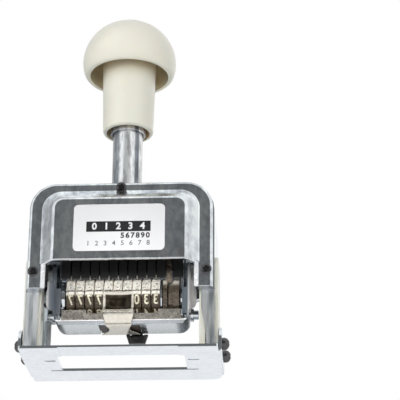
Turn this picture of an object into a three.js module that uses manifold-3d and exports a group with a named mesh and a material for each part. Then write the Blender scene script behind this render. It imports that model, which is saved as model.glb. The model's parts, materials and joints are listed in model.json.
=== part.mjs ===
// Hand numbering machine: a ten wheel numbering stamp with a push handle and a swinging ink pad.
// Millimetres, +Z up, +X to the right as the front is seen, the front faces -Y.
// The origin is the middle of the base plate's underside.
import * as THREE from 'three';
import { mergeVertices } from 'three/addons/utils/BufferGeometryUtils.js';
import Module from 'manifold-3d';

const wasm = await Module();
wasm.setup();

const degree = Math.PI / 180;
const quarterTurn = 90 * degree;

// Clearances that many pieces share
const seatGap = 0.3;
const slideGap = 0.3;
const discGap = 0.35;
const sweepGap = 0.5;
const overrun = 2;
const fineSteps = 12;
const domeSteps = 9;
const bellySteps = 4;
const sectorSteps = 4;
const smallSides = 12;
const roundSides = 24;
const largeSides = 40;

// Number wheels, each with its ratchet on the left side
const wheelCount = 10;
const wheelFaces = 10;
const wheelPitch = 4.05;
const wheelWidth = 3.4;
const wheelApothem = 9.5;
const wheelLandHalf = 0.75;
const wheelBore = 2.8;
const digitRelief = 0.5;
const ratchetRadius = 8.8;
const ratchetRoot = 7.9;
const ratchetCarryRoot = 6.9;
const ratchetWidth = 0.45;
const ratchetRakeShare = 0.86;
const axleRadius = 2.5;
const wheelAxisY = -4;
const wheelAxisZ = 27.7;

// The rest of the stack on the axle: yoke hub, spacer, repeat mechanism and yoke arm
const yokeHubWidth = 1.9;
const spacerWidth = 0.6;
const spacerRadius = 9.6;
const repeatWheelWidth = 1.9;
const repeatWheelRadius = 9.2;
const repeatNotches = 12;
const repeatNotchDepth = 1.1;
const repeatNotchShare = 0.35;
const repeatCamWidth = 2.1;
const repeatCamApothem = 7.2;
const repeatCollarWidth = 2.6;
const repeatCollarApothem = 9;
const yokeArmWidth = 1.1;
const stackSpare = 0.4;
const wheelRow = (wheelCount - 1) * wheelPitch + wheelWidth;
const repeatRow = repeatWheelWidth + discGap + repeatCamWidth + repeatCollarWidth;
const stackWidth = seatGap + yokeHubWidth + discGap + ratchetWidth + wheelRow + seatGap + spacerWidth
  + seatGap + repeatRow + sweepGap + yokeArmWidth + stackSpare;

// The carriage is as wide as the stack, and the frame as wide as the carriage needs
const plateInner = stackWidth / 2;
const plateSheet = 0.8;
const yokeHubLeft = -plateInner + seatGap;
const wheelFirst = yokeHubLeft + yokeHubWidth + discGap + ratchetWidth;
const spacerLeft = wheelFirst + wheelRow + seatGap;
const repeatWheelLeft = spacerLeft + spacerWidth + seatGap;
const repeatCamLeft = repeatWheelLeft + repeatWheelWidth + discGap;
const yokeArmLeft = repeatCamLeft + repeatCamWidth + repeatCollarWidth + sweepGap;
const shoeReach = 6.6;
const guideInner = plateInner + shoeReach + slideGap;
const guideThick = 2.6;
const guideDepth = 6.5;
const guideProud = 1;

// The printing stroke brings the raised digits down to the underside of the base
const stroke = wheelAxisZ - wheelApothem - digitRelief;

// Spring bar, its guide rod and the return spring inside the shaft
const springBarLow = 46;
const springBarHeight = 3;
const springBarHalfDepth = 2.5;
const springBarNeckShare = 0.6;
const springRod = 2.4;
const springRodLength = 31;
const springMean = 3.7;
const springWire = 0.5;
const springTurns = 17;
const springSteps = 8;
const springSides = 5;
const springBarTop = springBarLow + springBarHeight;

// Crosshead and side plates of the carriage
const crossheadHeight = 4.5;
const crossheadFrontReach = 6;
const crossheadSocket = 3;
const crossheadHubRadius = 9.4;
const crossheadHubRise = 1.5;
const crossheadLow = springBarTop + stroke + slideGap;
const plateTop = crossheadLow + crossheadHeight;
const plateFootRadius = 8;
const plateFrontReach = 8;
const plateBackReach = 12;
const plateWaistReach = 6.5;
const plateWaistRise = 12.3;
const shoeHeight = 19.5;
const shoeFrontReach = 11;

// Bent outer frame that stands on the base plate
const frameSheet = 1.2;
const frameLip = 5.5;
const frameCorner = 12;
const frameHeadroom = 0.6;
const frameHalfWidth = guideInner + guideProud + frameLip;
const frameHalfDepth = 20;
const frameTop = plateTop + crossheadHubRise + frameHeadroom + frameSheet;
const guideTopDrop = 6.8;
const sideWindowFront = 4;
const sideWindowBack = 15.5;
const sideWindowLow = 12;
const sideWindowHigh = 40;
const legBowWidth = 2.2;
const legBowHeight = 17;
const guardThick = 1.4;
const guardHalfDepth = 15;
const guardLow = 4;
const guardHigh = 44;
const guardCorner = 5;

// Base plate with its printing window and the two upturned ears
const baseMargin = 1.6;
const baseOverhang = 4.25;
const baseSheet = 1.2;
const baseFrontCorner = 0.8;
const baseRearCorner = 5;
const windowHalfWidth = plateInner + sweepGap;
const windowFrontReach = 8;
const windowBackReach = 12.8;
const windowCorner = 1.2;
const lipRecessDepth = 0.3;
const lipRecessInset = 2;
const sightLength = 5;
const sightWidth = 1.6;
const sightFromWindow = 1;
const sightReach = 2;
const earInner = frameHalfWidth + guardThick + seatGap;
const earFront = -17;
const earBack = 19;
const earHeight = 12;
const earTopCorner = 6;
const earBend = 2;

// Pressed covers, front and back alike
const coverInset = 0.5;
const coverSheet = 1;
const coverDepth = 4.5;
const coverCorner = 11.5;
const coverFoot = 26.3;
const coverFootCorner = 1;
const coverLegWidth = 8.7;
const coverSideFlange = 5.5;
const coverTopFlange = 4;
const coverHalfWidth = frameHalfWidth - coverInset;
const coverTop = frameTop - coverInset;
const hoodFoot = 37.1;
const hoodHalfWidth = coverHalfWidth - coverSideFlange;
const hoodTop = coverTop - coverTopFlange;
const hoodCorner = 8.5;
const hoodRollWidth = 6.5;
const hoodRollHeight = 6.2;
const panelCorner = 3.6;
const panelDepth = 5.5;
const hoodWidthShares = [0, 0.12, 0.7, 0.84, 0.93, 1];
const hoodDepthShares = [0, 0.1, 0.8, 0.94, 0.985, 1];

// Label, sunk flush into the front panel
const labelHalfWidth = 19.4;
const labelRise = 3.5;
const labelHeight = 21.1;
const labelCorner = 2;
const labelSheet = 0.3;

// Cover screws and base screws
const coverScrewHead = 2.3;
const coverScrewHeadHeight = 0.9;
const coverScrewShank = 1.3;
const screwRimShare = 0.3;
const coverScrewInset = 2.8;
const coverTopScrewInset = 2.45;
const coverScrewRise = 7.6;
const baseScrewHead = 2.7;
const baseScrewHeadHeight = 3;
const baseScrewShank = 1.3;
const baseScrewFront = -8;
const baseScrewBack = 9.8;
const baseScrewZ = 6;
const screwTail = 0.5;

// Handle, shaft and bush
const shaftY = -1.2;
const shaftRadius = 6.7;
const shaftBore = 4.7;
const bushFlange = 10.5;
const bushFlangeHeight = 2.4;
const bushCollar = 9;
const bushHeight = 5.4;
const bushWall = 1.7;
const neckLow = 108.1;
const neckLowRadius = 11.35;
const neckHighRadius = 12.45;
const neckBore = 9.7;
const neckBoreDepth = 7.9;
const neckEdge = 1.2;
const shaftSeatDepth = 33.9;
const shaftSolidLength = 42;
const ferruleRadius = 7.9;
const ferruleProud = 1.1;
const ferruleSunk = 3.9;
const ferruleRound = 0.8;
const capRimRise = 28.7;
const capRimInner = 17.8;
const capRimWall = 1;
const capRadius = 21.4;
const capWidestRise = 6.7;
const capHeight = 27.3;
const capRoofRise = 14.7;
const capHollow = 18.3;
const capHollowRise = 5.2;

// Detent comb, its bar and the pawl fingers above the wheels
const combFrontReach = 9.9;
const combLowRise = 6.6;
const combHeight = 18.7;
const combSheet = 0.8;
const combSlit = 0.6;
const combSlitRoof = 6;
const combLeverGap = 3;
const combLeverGapRoof = 1;
const combBarDepth = 3;
const combBarHeight = 4;
const pawlSheet = 0.4;
const pawlDrop = 0.4;
const pawlWidth = 0.45;
const pawlRootRoof = 8;

// Repeat lever, hung in the comb's bar
const repeatLeverOffset = 0.6;
const repeatLeverWidth = 2.2;
const repeatLeverThick = 1;
const repeatLeverDrop = 2.7;
const repeatLeverPivotDrop = 2.6;
const repeatLeverEye = 1.5;
const repeatLeverArm = 1.8;
const repeatPinRadius = 0.8;
const repeatPinLength = 5.4;

// Driving yoke and its pawls behind the wheels
const yokeHubRadius = 9.2;
const yokeArmHub = 5.5;
const yokeBarInner = 11.4;
const yokeBarOuter = 14.2;
const yokeBarSpread = 9;
const yokeArmDrop = 27;
const drivePawlThick = 0.4;
const drivePawlEndRadius = 9.3;
const drivePawlEndAngle = -10;
const drivePawlEndHalf = 0.25;
const drivePawlRootHalf = 0.8;
const pawlRodReach = 12.4;
const pawlRodAngle = -20;
const pawlRodRadius = 1;

// Ink pad frame, hung on two studs of the carriage
const padPivotRise = 11.3;
const padSheet = 1;
const padFrontReach = 10.5;
const padBackReach = 4;
const padLow = 13.5;
const padCorner = 4.5;
const padEye = 5.5;
const padArmBackRise = 6.5;
const padArmFrontRise = 17.5;
const padLipHeight = 1.9;
const padLipInset = 2.2;
const padFlangeSheet = 0.8;
const padFlangeInset = 2.9;
const padFlangeRise = 16.1;
const padWingReach = 3.3;
const padWingRise = 6.1;
const padNotchMargin = 0.4;
const padNotchInset = 1.9;
const studShank = 2;
const studNut = 3.9;
const studNutWidth = 2;
const studEnd = 2.5;
const studEndLength = 1.9;
const pinRise = 6.8;
const pinShank = 1.2;
const pinFlange = 2.8;
const pinFlangeWidth = 1.3;
const pinEnd = 2;
const pinEndLength = 2;
const padHalfWidth = plateInner + plateSheet + sweepGap + padSheet;

// Pad tray and felt
const trayInset = 3.3;
const traySheet = 0.6;
const trayFrontInset = 1.1;
const trayBackInset = 0.8;
const trayWallHeight = 5.4;
const trayCutDepth = 1.6;
const trayCutShares = [[-0.584, -0.33], [0.22, 0.616]];
const traySideHeight = 2.4;
const feltInset = 1.1;
const feltShort = 8.1;

// Spring clip with its scoop. Along its path: reach, rise, half width and curl of the edges.
const clipCentre = -0.9;
const clipSheet = 0.5;
const clipAcross = 8;
const clipBackInset = 1.6;
const clipDrop = 0.6;
const clipReach = 16.3;
const clipRise = 14.1;
const clipHalfWidth = 8.3;
const clipCurl = 1.9;
const clipPathShares = [
  [0, 0, 1, 0],
  [0.123, 0, 0.807, 0],
  [0.307, 0, 0.566, 0],
  [0.503, 0, 0.518, 0],
  [0.675, 0, 0.602, 0],
  [0.798, 0.007, 0.663, 0],
  [0.859, 0.05, 0.675, 0],
  [0.883, 0.135, 0.699, 0],
  [0.902, 0.234, 0.759, 0.05],
  [0.951, 0.305, 0.795, 0.1],
  [1, 0.34, 0.795, 0.16],
  [1, 0.397, 0.783, 0.26],
  [0.933, 0.426, 0.783, 0.42],
  [0.853, 0.489, 0.783, 0.74],
  [0.822, 0.617, 0.783, 1],
  [0.822, 0.787, 0.783, 1],
  [0.865, 0.922, 0.783, 0.74],
  [0.939, 1, 0.759, 0.42],
];

// Black moulded catch behind the clip
const catchLeft = 1;
const catchWidth = 9.6;
const catchTaper = 1.3;
const catchDrop = 4.4;
const catchHeight = 4;
const catchFrontInset = 0.6;
const catchBackReach = 1.4;
const catchArcDepth = 2.6;
const catchArcInset = 1.8;
const catchSunk = 0.8;
const catchTongueRise = 1.6;
const catchTongueInset = 2.4;

// Places that follow from these sizes
const baseHalfWidth = frameHalfWidth + baseMargin;
const baseHalfDepth = frameHalfDepth + baseOverhang;
const windowFront = wheelAxisY - windowFrontReach;
const windowBack = wheelAxisY + windowBackReach;
const sightY = wheelAxisY - sightReach;
const guideTop = frameTop - guideTopDrop;
const legInnerEdge = coverHalfWidth - coverLegWidth;
const panelHalfWidth = hoodHalfWidth - hoodRollWidth;
const panelTop = hoodTop - hoodRollHeight;
const coverFace = frameHalfDepth + coverDepth;
const panelFace = coverFace + panelDepth;
const labelLow = hoodFoot + labelRise;
const labelHigh = labelLow + labelHeight;
const coverScrewSideX = coverHalfWidth - coverScrewInset;
const coverScrewSideZ = coverFoot + coverScrewRise;
const coverScrewPlaces = [
  [0, coverTop - coverTopScrewInset],
  [-coverScrewSideX, coverScrewSideZ],
  [coverScrewSideX, coverScrewSideZ],
];
const baseScrewYs = [baseScrewFront, baseScrewBack];
const bushSpigot = shaftRadius + slideGap + bushWall;
const springRodTop = springBarTop + springRodLength;
const ferruleLow = neckLow - ferruleProud;
const ferruleHigh = neckLow + ferruleSunk;
const neckBoreTop = neckLow + neckBoreDepth;
const shaftTop = neckLow + shaftSeatDepth;
const shaftBoreTop = shaftTop - shaftSolidLength;
const capRimLow = neckLow + capRimRise;
const capWidest = capRimLow + capWidestRise;
const capTop = capRimLow + capHeight;
const capRoof = capRimLow + capRoofRise;
const capHollowWidest = capRimLow + capHollowRise;
const wheelSweep = wheelApothem + digitRelief;
const wheelCentres = Array.from(
  { length: wheelCount }, (_, k) => wheelFirst + wheelPitch * k + wheelWidth / 2,
);
const plateFront = wheelAxisY - plateFrontReach;
const plateBack = wheelAxisY + plateBackReach;
const plateWaistFront = wheelAxisY - plateWaistReach;
const plateWaistZ = wheelAxisZ + plateWaistRise;
const shoeLow = plateTop - shoeHeight;
const shoeFront = wheelAxisY - shoeFrontReach;
const crossheadFront = wheelAxisY - crossheadFrontReach;
const crossheadBack = plateBack - seatGap;
const combFront = wheelAxisY - combFrontReach;
const combLow = wheelAxisZ + combLowRise;
const combHigh = combLow + combHeight;
const combSlitTop = combHigh - combSlitRoof;
const combLeverGapTop = combHigh - combLeverGapRoof;
const combBarBack = combFront + combSheet + pawlSheet + seatGap * 2 + combBarDepth;
const pawlLow = combLow - pawlDrop;
const pawlRoot = combHigh - pawlRootRoof;
const repeatLeverLeft = repeatCamLeft - repeatLeverOffset;
const repeatLeverLow = combLow - repeatLeverDrop;
const repeatLeverPivotZ = combHigh - repeatLeverPivotDrop;
const repeatPivotY = combBarBack - combBarDepth / 2;
const leverCentre = repeatLeverLeft + repeatLeverWidth / 2;
const padPivotZ = wheelAxisZ + padPivotRise;
const padFront = wheelAxisY - padFrontReach;
const padBack = wheelAxisY + padBackReach;
const padArmBackZ = padLow + padArmBackRise;
const padArmFrontZ = padLow + padArmFrontRise;
const padLipHalf = padHalfWidth - padLipInset;
const padFlangeInner = padHalfWidth - padFlangeInset;
const padFlangeTop = padLow + padFlangeRise;
const padWingOuter = padHalfWidth + padWingReach;
const padWingLow = padLow + padWingRise;
const padNotchFront = padFront + padNotchInset;
const padNotchHalf = clipHalfWidth + padNotchMargin;
const studOuter = padHalfWidth + seatGap + studNutWidth + studEndLength;
const pinZ = padLow + pinRise;
const pinOuter = padHalfWidth + seatGap + pinFlangeWidth + pinEndLength;
const trayHalf = padHalfWidth - trayInset;
const trayLow = padLow + padSheet + seatGap;
const trayFront = padFront + trayFrontInset;
const trayBack = padBack - trayBackInset;
const trayWallTop = trayLow + trayWallHeight;
const trayCutTop = trayWallTop - trayCutDepth;
const traySideTop = trayLow + traySideHeight;
const feltLeft = -trayHalf + feltInset;
const feltRight = trayHalf - feltShort;
const clipBack = padBack - clipBackInset;
const clipLow = padLow - clipDrop;
const catchRight = catchLeft + catchWidth;
const catchLow = padLow - catchDrop;
const catchFront = padBack - catchFrontInset;
const catchBack = padBack + catchBackReach;

// Finishes
function finish(color, metalness, roughness) {
  return new THREE.MeshStandardMaterial({ color, metalness, roughness });
}
const chrome = () => finish(0xc9ccd0, 1, 0.12);
const darkChrome = () => finish(0x8d9196, 1, 0.18);
const nickel = () => finish(0xcdbfa6, 1, 0.28);
const blackSteel = () => finish(0x1c1b1d, 0.6, 0.5);
const springSteel = () => finish(0x9b9a96, 1, 0.35);
const ivory = () => finish(0xe6e4d4, 0, 0.4);
const blackPlastic = () => finish(0x141414, 0, 0.45);
const inkedFelt = () => finish(0x2a2730, 0, 0.95);
const labelWhite = () => finish(0xeeeeee, 0, 0.5);

// Outlines are lists of points, anticlockwise
function point(u, v) {
  return new THREE.Vector2(u, v);
}

function arc(u, v, radius, from, to, steps) {
  if (radius === 0) return [point(u, v)];
  return Array.from({ length: steps + 1 }, (_, k) => {
    const angle = (from + ((to - from) * k) / steps) * degree;
    return point(u + radius * Math.cos(angle), v + radius * Math.sin(angle));
  });
}

function circle(u, v, radius, sides) {
  return Array.from({ length: sides }, (_, k) => {
    const angle = (2 * Math.PI * (k + 0.5)) / sides;
    return point(u + radius * Math.cos(angle), v + radius * Math.sin(angle));
  });
}

function roundedOutline(left, right, low, high, radii, steps = fineSteps / 3) {
  const [lowLeft, lowRight, highRight, highLeft] = radii;
  return [
    ...arc(left + lowLeft, low + lowLeft, lowLeft, 180, 270, steps),
    ...arc(right - lowRight, low + lowRight, lowRight, 270, 360, steps),
    ...arc(right - highRight, high - highRight, highRight, 0, 90, steps),
    ...arc(left + highLeft, high - highLeft, highLeft, 90, 180, steps),
  ];
}

function archOutline(halfWidth, foot, top, corner, footCorner = 0) {
  const radii = [footCorner, footCorner, corner, corner];
  return roundedOutline(-halfWidth, halfWidth, foot, top, radii, fineSteps / 2);
}

// Solids. A prism along X takes its outline in Y and Z, along Y in X and Z, along Z in X and Y.
const prismAxes = {
  x: [new THREE.Vector3(0, 1, 0), new THREE.Vector3(0, 0, 1), new THREE.Vector3(1, 0, 0)],
  y: [new THREE.Vector3(1, 0, 0), new THREE.Vector3(0, 0, 1), new THREE.Vector3(0, -1, 0)],
  z: [new THREE.Vector3(1, 0, 0), new THREE.Vector3(0, 1, 0), new THREE.Vector3(0, 0, 1)],
};

function prism(axis, outline, low, high, holes = []) {
  const shape = new THREE.Shape(outline);
  shape.holes = holes.map((hole) => new THREE.Path(hole));
  const geometry = new THREE.ExtrudeGeometry(shape, { depth: high - low, bevelEnabled: false });
  const [across, up, along] = prismAxes[axis];
  geometry.applyMatrix4(new THREE.Matrix4().makeBasis(across, up, along));
  const start = axis === 'y' ? high : low;
  geometry.translate(axis === 'x' ? start : 0, axis === 'y' ? start : 0, axis === 'z' ? start : 0);
  return geometry;
}

function block(x0, x1, y0, y1, z0, z1) {
  return prism('z', roundedOutline(x0, x1, y0, y1, [0, 0, 0, 0]), z0, z1);
}

function rod(axis, u, v, radius, low, high, sides = smallSides) {
  return prism(axis, circle(u, v, radius, sides), low, high);
}

// Profile points are [radius, height], from the bottom up the outside
function turned(profile, sides) {
  const points = profile.map(([radius, height]) => point(radius, height));
  return new THREE.LatheGeometry(points, sides).rotateX(quarterTurn);
}

function solid(geometry) {
  const bare = geometry.index ? geometry.toNonIndexed() : geometry.clone();
  bare.deleteAttribute('normal');
  bare.deleteAttribute('uv');
  const merged = mergeVertices(bare);
  const corners = merged.index.array;
  const kept = [];
  for (let i = 0; i < corners.length; i += 3) {
    const [a, b, c] = corners.slice(i, i + 3);
    if (a !== b && b !== c && c !== a) kept.push(a, b, c);
  }
  const mesh = new wasm.Mesh({
    numProp: 3,
    vertProperties: merged.attributes.position.array,
    triVerts: new Uint32Array(kept),
  });
  return new wasm.Manifold(mesh);
}

function joined(...geometries) {
  return geometries.map(solid).reduce((whole, piece) => whole.add(piece));
}

function cut(whole, ...tools) {
  return tools.map(solid).reduce((left, tool) => left.subtract(tool), whole);
}

function geometryOf(manifold) {
  const mesh = manifold.getMesh();
  const geometry = new THREE.BufferGeometry();
  geometry.setAttribute('position', new THREE.BufferAttribute(mesh.vertProperties, 3));
  geometry.setIndex(new THREE.BufferAttribute(mesh.triVerts, 1));
  geometry.computeVertexNormals();
  return geometry;
}

// A loft joins rings with equal counts of points; each end is closed by pairing the ring's halves
function loft(rings) {
  const count = rings[0].length;
  const geometry = new THREE.BufferGeometry();
  const positions = rings.flat().flatMap((p) => [p.x, p.y, p.z]);
  const index = [];
  for (let ring = 0; ring < rings.length - 1; ring += 1) {
    for (let k = 0; k < count; k += 1) {
      const a = ring * count + k;
      const b = ring * count + ((k + 1) % count);
      index.push(a, b, b + count, a, b + count, a + count);
    }
  }
  const last = (rings.length - 1) * count;
  for (let k = 0; k < count / 2 - 1; k += 1) {
    const [a, b, c, d] = [k, k + 1, count - 2 - k, count - 1 - k];
    index.push(a, c, b, a, d, c);
    index.push(last + a, last + b, last + c, last + a, last + c, last + d);
  }
  geometry.setAttribute('position', new THREE.Float32BufferAttribute(positions, 3));
  geometry.setIndex(index);
  return geometry;
}

const machine = new THREE.Group();

function addPiece(parent, name, shape, material) {
  const geometry = shape instanceof THREE.BufferGeometry ? shape : geometryOf(shape);
  const mesh = new THREE.Mesh(geometry, material);
  mesh.name = name;
  parent.add(mesh);
  return mesh;
}

// Mirrors a place across the machine: the left side is -1, the right side is +1
const sides = [['left', -1], ['right', 1]];

function spanX(side, inner, outer) {
  return side < 0 ? [-outer, -inner] : [inner, outer];
}

// Base plate
function basePlate() {
  const radii = [baseFrontCorner, baseFrontCorner, baseRearCorner, baseFrontCorner];
  const outline = roundedOutline(-baseHalfWidth, baseHalfWidth, -baseHalfDepth, baseHalfDepth, radii);
  const plate = prism('z', outline, 0, baseSheet);
  const earOuter = earInner + baseSheet;
  const bends = [earBend, earBend, 0, 0];
  const inBends = [earBend - baseSheet, earBend - baseSheet, 0, 0];
  const outer = roundedOutline(-earOuter, earOuter, 0, earHeight, bends);
  const inner = roundedOutline(-earInner, earInner, baseSheet, earHeight + overrun, inBends);
  const side = [0, 0, earTopCorner, earTopCorner];
  const silhouette = prism('x', roundedOutline(earFront, earBack, 0, earHeight, side), -earOuter, earOuter);
  const earHollow = prism('y', inner, earFront - overrun, earBack + overrun);
  const ears = cut(solid(prism('y', outer, earFront, earBack)), earHollow);
  const corners = [windowCorner, windowCorner, windowCorner, windowCorner];
  const window = roundedOutline(-windowHalfWidth, windowHalfWidth, windowFront, windowBack, corners);
  const recess = block(
    -windowHalfWidth + lipRecessInset, windowHalfWidth - lipRecessInset,
    -baseHalfDepth - overrun, windowFront + windowCorner, -overrun, lipRecessDepth,
  );
  const sightCorner = sightWidth / 2;
  const sightCorners = [sightCorner, sightCorner, sightCorner, sightCorner];
  const cuts = [prism('z', window, -overrun, baseSheet + overrun), recess];
  for (const [, side0] of sides) {
    const sightStart = windowHalfWidth + sightFromWindow;
    const [near, far] = spanX(side0, sightStart, sightStart + sightLength);
    const mark = roundedOutline(near, far, sightY - sightCorner, sightY + sightCorner, sightCorners);
    cuts.push(prism('z', mark, -overrun, baseSheet + overrun));
    const [rearNear, rearFar] = spanX(side0, windowHalfWidth - overrun, windowHalfWidth + sightLength);
    const rearMark = roundedOutline(rearNear, rearFar, windowBack - sightWidth, windowBack, sightCorners);
    cuts.push(prism('z', rearMark, -overrun, baseSheet + overrun));
  }
  for (const y of baseScrewYs) {
    cuts.push(rod('x', y, baseScrewZ, baseScrewShank + seatGap, -earOuter - overrun, earOuter + overrun));
  }
  const whole = solid(plate).add(ears.intersect(solid(silhouette)));
  addPiece(machine, 'base_plate', cut(whole, ...cuts), chrome());
}

// Outer frame: a bent arch with inward lips front and back
function outerFrame() {
  const foot = baseSheet;
  const low = foot - overrun;
  const outside = archOutline(frameHalfWidth, foot, frameTop, frameCorner);
  const arch = prism('y', outside, -frameHalfDepth, frameHalfDepth);
  const cavity = prism(
    'y', archOutline(frameHalfWidth - frameSheet, low, frameTop - frameSheet, frameCorner - frameSheet),
    -frameHalfDepth + frameSheet, frameHalfDepth - frameSheet,
  );
  const throat = prism(
    'y', archOutline(frameHalfWidth - frameLip, low, frameTop - frameLip, frameCorner - frameLip),
    -frameHalfDepth - overrun, frameHalfDepth + overrun,
  );
  const bowEdge = frameHalfWidth - frameLip;
  const bow = [
    point(bowEdge - overrun, low),
    point(bowEdge + legBowWidth, low),
    point(bowEdge + legBowWidth, foot),
    point(bowEdge + legBowWidth * Math.cos(30 * degree), foot + legBowHeight / 3),
    point(bowEdge + legBowWidth / 2, foot + (legBowHeight * 2) / 3),
    point(bowEdge, foot + legBowHeight),
    point(bowEdge - overrun, foot + legBowHeight),
  ];
  const cuts = [
    cavity, throat,
    prism('y', bow, -frameHalfDepth - overrun, -frameHalfDepth + frameSheet + overrun),
    block(
      -frameHalfWidth - overrun, frameHalfWidth + overrun,
      sideWindowFront, sideWindowBack, sideWindowLow, sideWindowHigh,
    ),
    rod(
      'z', 0, shaftY, bushSpigot + seatGap, frameTop - frameSheet - overrun, frameTop + overrun, roundSides,
    ),
  ];
  for (const y of baseScrewYs) {
    const hole = baseScrewShank + seatGap;
    cuts.push(rod('x', y, baseScrewZ, hole, -frameHalfWidth - overrun, frameHalfWidth + overrun));
  }
  for (const [x, z] of coverScrewPlaces) {
    const hole = coverScrewShank + seatGap;
    cuts.push(rod('y', x, z, hole, -frameHalfDepth - overrun, frameHalfDepth + overrun));
  }
  addPiece(machine, 'outer_frame', cut(solid(arch), ...cuts), chrome());
}

// One ring of the hood, share 0 at the flange and 1 at the raised panel
function hoodRing(widthShare, depthShare, inset, foot) {
  const mix = (from, to) => from + (to - from) * widthShare;
  const halfWidth = mix(hoodHalfWidth, panelHalfWidth) - inset;
  const top = mix(hoodTop, panelTop) - inset;
  const corner = mix(hoodCorner, panelCorner) - inset;
  const y = -coverFace - panelDepth * depthShare + inset;
  return archOutline(halfWidth, foot, top, corner).map((p) => new THREE.Vector3(p.x, y, p.y));
}

function hood(inset, foot, backY) {
  const rings = hoodWidthShares.map((share, k) => hoodRing(share, hoodDepthShares[k], inset, foot));
  const back = rings[0].map((p) => new THREE.Vector3(p.x, backY, p.z));
  return loft([back, ...rings]);
}

function cover() {
  const shell = prism(
    'y', archOutline(coverHalfWidth, coverFoot, coverTop, coverCorner, coverFootCorner),
    -coverFace, -frameHalfDepth,
  );
  const hollow = prism(
    'y', archOutline(
      coverHalfWidth - coverSheet, coverFoot + coverSheet, coverTop - coverSheet, coverCorner - coverSheet,
    ),
    -coverFace + coverSheet, -frameHalfDepth + overrun,
  );
  const throat = block(
    -legInnerEdge, legInnerEdge, -coverFace - overrun, -frameHalfDepth + overrun,
    coverFoot - overrun, hoodFoot,
  );
  const inside = hood(coverSheet, hoodFoot - coverSheet, -frameHalfDepth + overrun);
  const raised = solid(hood(0, hoodFoot, -coverFace + coverSheet));
  const cuts = [throat, inside];
  for (const [x, z] of coverScrewPlaces) {
    cuts.push(rod('y', x, z, coverScrewShank + seatGap, -coverFace - overrun, -frameHalfDepth + overrun));
    cuts.push(rod('y', x, z, coverScrewHead + seatGap, -coverFace - overrun, -coverFace, roundSides));
  }
  return cut(cut(solid(shell), hollow).add(raised), ...cuts);
}

function covers() {
  const corner = labelCorner + seatGap;
  const seat = prism(
    'y', roundedOutline(
      -labelHalfWidth - seatGap, labelHalfWidth + seatGap, labelLow - seatGap, labelHigh + seatGap,
      [corner, corner, corner, corner],
    ),
    -panelFace - overrun, -panelFace + labelSheet,
  );
  addPiece(machine, 'front_cover', cut(cover(), seat), chrome());
  const back = addPiece(machine, 'back_cover', cover(), chrome());
  back.rotation.z = Math.PI;
  const corners = [labelCorner, labelCorner, labelCorner, labelCorner];
  const outline = roundedOutline(-labelHalfWidth, labelHalfWidth, labelLow, labelHigh, corners);
  addPiece(machine, 'label_plate', prism('y', outline, -panelFace, -panelFace + labelSheet), labelWhite());
}

// Round headed screw along +Z, its head standing on z = 0
function screw(headRadius, headHeight, shankRadius, shankLength) {
  const dome = Array.from({ length: bellySteps + 1 }, (_, k) => {
    const angle = (k / bellySteps) * quarterTurn;
    const rim = headHeight * screwRimShare;
    return [headRadius * Math.cos(angle), rim + (headHeight - rim) * Math.sin(angle)];
  });
  dome[bellySteps][0] = 0;
  const shank = [[0, -shankLength], [shankRadius, -shankLength], [shankRadius, 0], [headRadius, 0]];
  return turned([...shank, ...dome], smallSides);
}

function screws() {
  const coverShank = coverDepth + frameSheet + screwTail;
  const names = ['top', 'left', 'right'];
  for (const [face, side, turn] of [['front', -1, quarterTurn], ['back', 1, -quarterTurn]]) {
    coverScrewPlaces.forEach(([x, z], k) => {
      const shape = screw(coverScrewHead, coverScrewHeadHeight, coverScrewShank, coverShank);
      const piece = addPiece(machine, `${face}_screw_${names[k]}`, shape, blackSteel());
      piece.position.set(x, side * coverFace, z);
      piece.rotation.x = turn;
    });
  }
  const earOuter = earInner + baseSheet;
  const baseShank = earOuter - frameHalfWidth + frameSheet + screwTail;
  for (const [name, side] of sides) {
    baseScrewYs.forEach((y, k) => {
      const shape = screw(baseScrewHead, baseScrewHeadHeight, baseScrewShank, baseShank);
      const piece = addPiece(machine, `base_screw_${name}_${k + 1}`, shape, blackSteel());
      piece.position.set(side * earOuter, y, baseScrewZ);
      piece.rotation.y = side * quarterTurn;
    });
  }
}

function plasticSides() {
  for (const [name, side] of sides) {
    const [x0, x1] = spanX(side, guideInner, guideInner + guideThick);
    const guideFront = -frameHalfDepth + frameSheet + screwTail + seatGap;
    const strip = block(x0, x1, guideFront, guideFront + guideDepth, baseSheet + seatGap, guideTop);
    addPiece(machine, `guide_strip_${name}`, strip, ivory());
    const [g0, g1] = spanX(side, frameHalfWidth, frameHalfWidth + guardThick);
    const bladeBack = sideWindowFront - seatGap;
    const outline = [
      point(-guardHalfDepth, guardLow),
      point(guardHalfDepth, guardLow),
      point(guardHalfDepth, sideWindowLow - seatGap),
      point(bladeBack, sideWindowLow - seatGap),
      ...arc(bladeBack - guardCorner, guardHigh - guardCorner, guardCorner, 0, 90, fineSteps / 3),
      ...arc(-guardHalfDepth + guardCorner, guardHigh - guardCorner, guardCorner, 90, 180, fineSteps / 3),
    ];
    const holes = baseScrewYs.map((y) => circle(y, baseScrewZ, baseScrewShank + seatGap, smallSides));
    addPiece(machine, `side_guard_${name}`, prism('x', outline, g0, g1, holes), ivory());
  }
}

function shaftBush() {
  const bore = shaftRadius + slideGap;
  const low = frameTop - frameSheet;
  const flangeTop = frameTop + bushFlangeHeight;
  const profile = [
    [bore, low], [bushSpigot, low], [bushSpigot, frameTop], [bushFlange, frameTop],
    [bushFlange, flangeTop], [bushCollar, flangeTop], [bushCollar, frameTop + bushHeight],
    [bore, frameTop + bushHeight], [bore, low],
  ];
  addPiece(machine, 'shaft_bush', turned(profile, roundSides), nickel()).position.y = shaftY;
}

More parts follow.
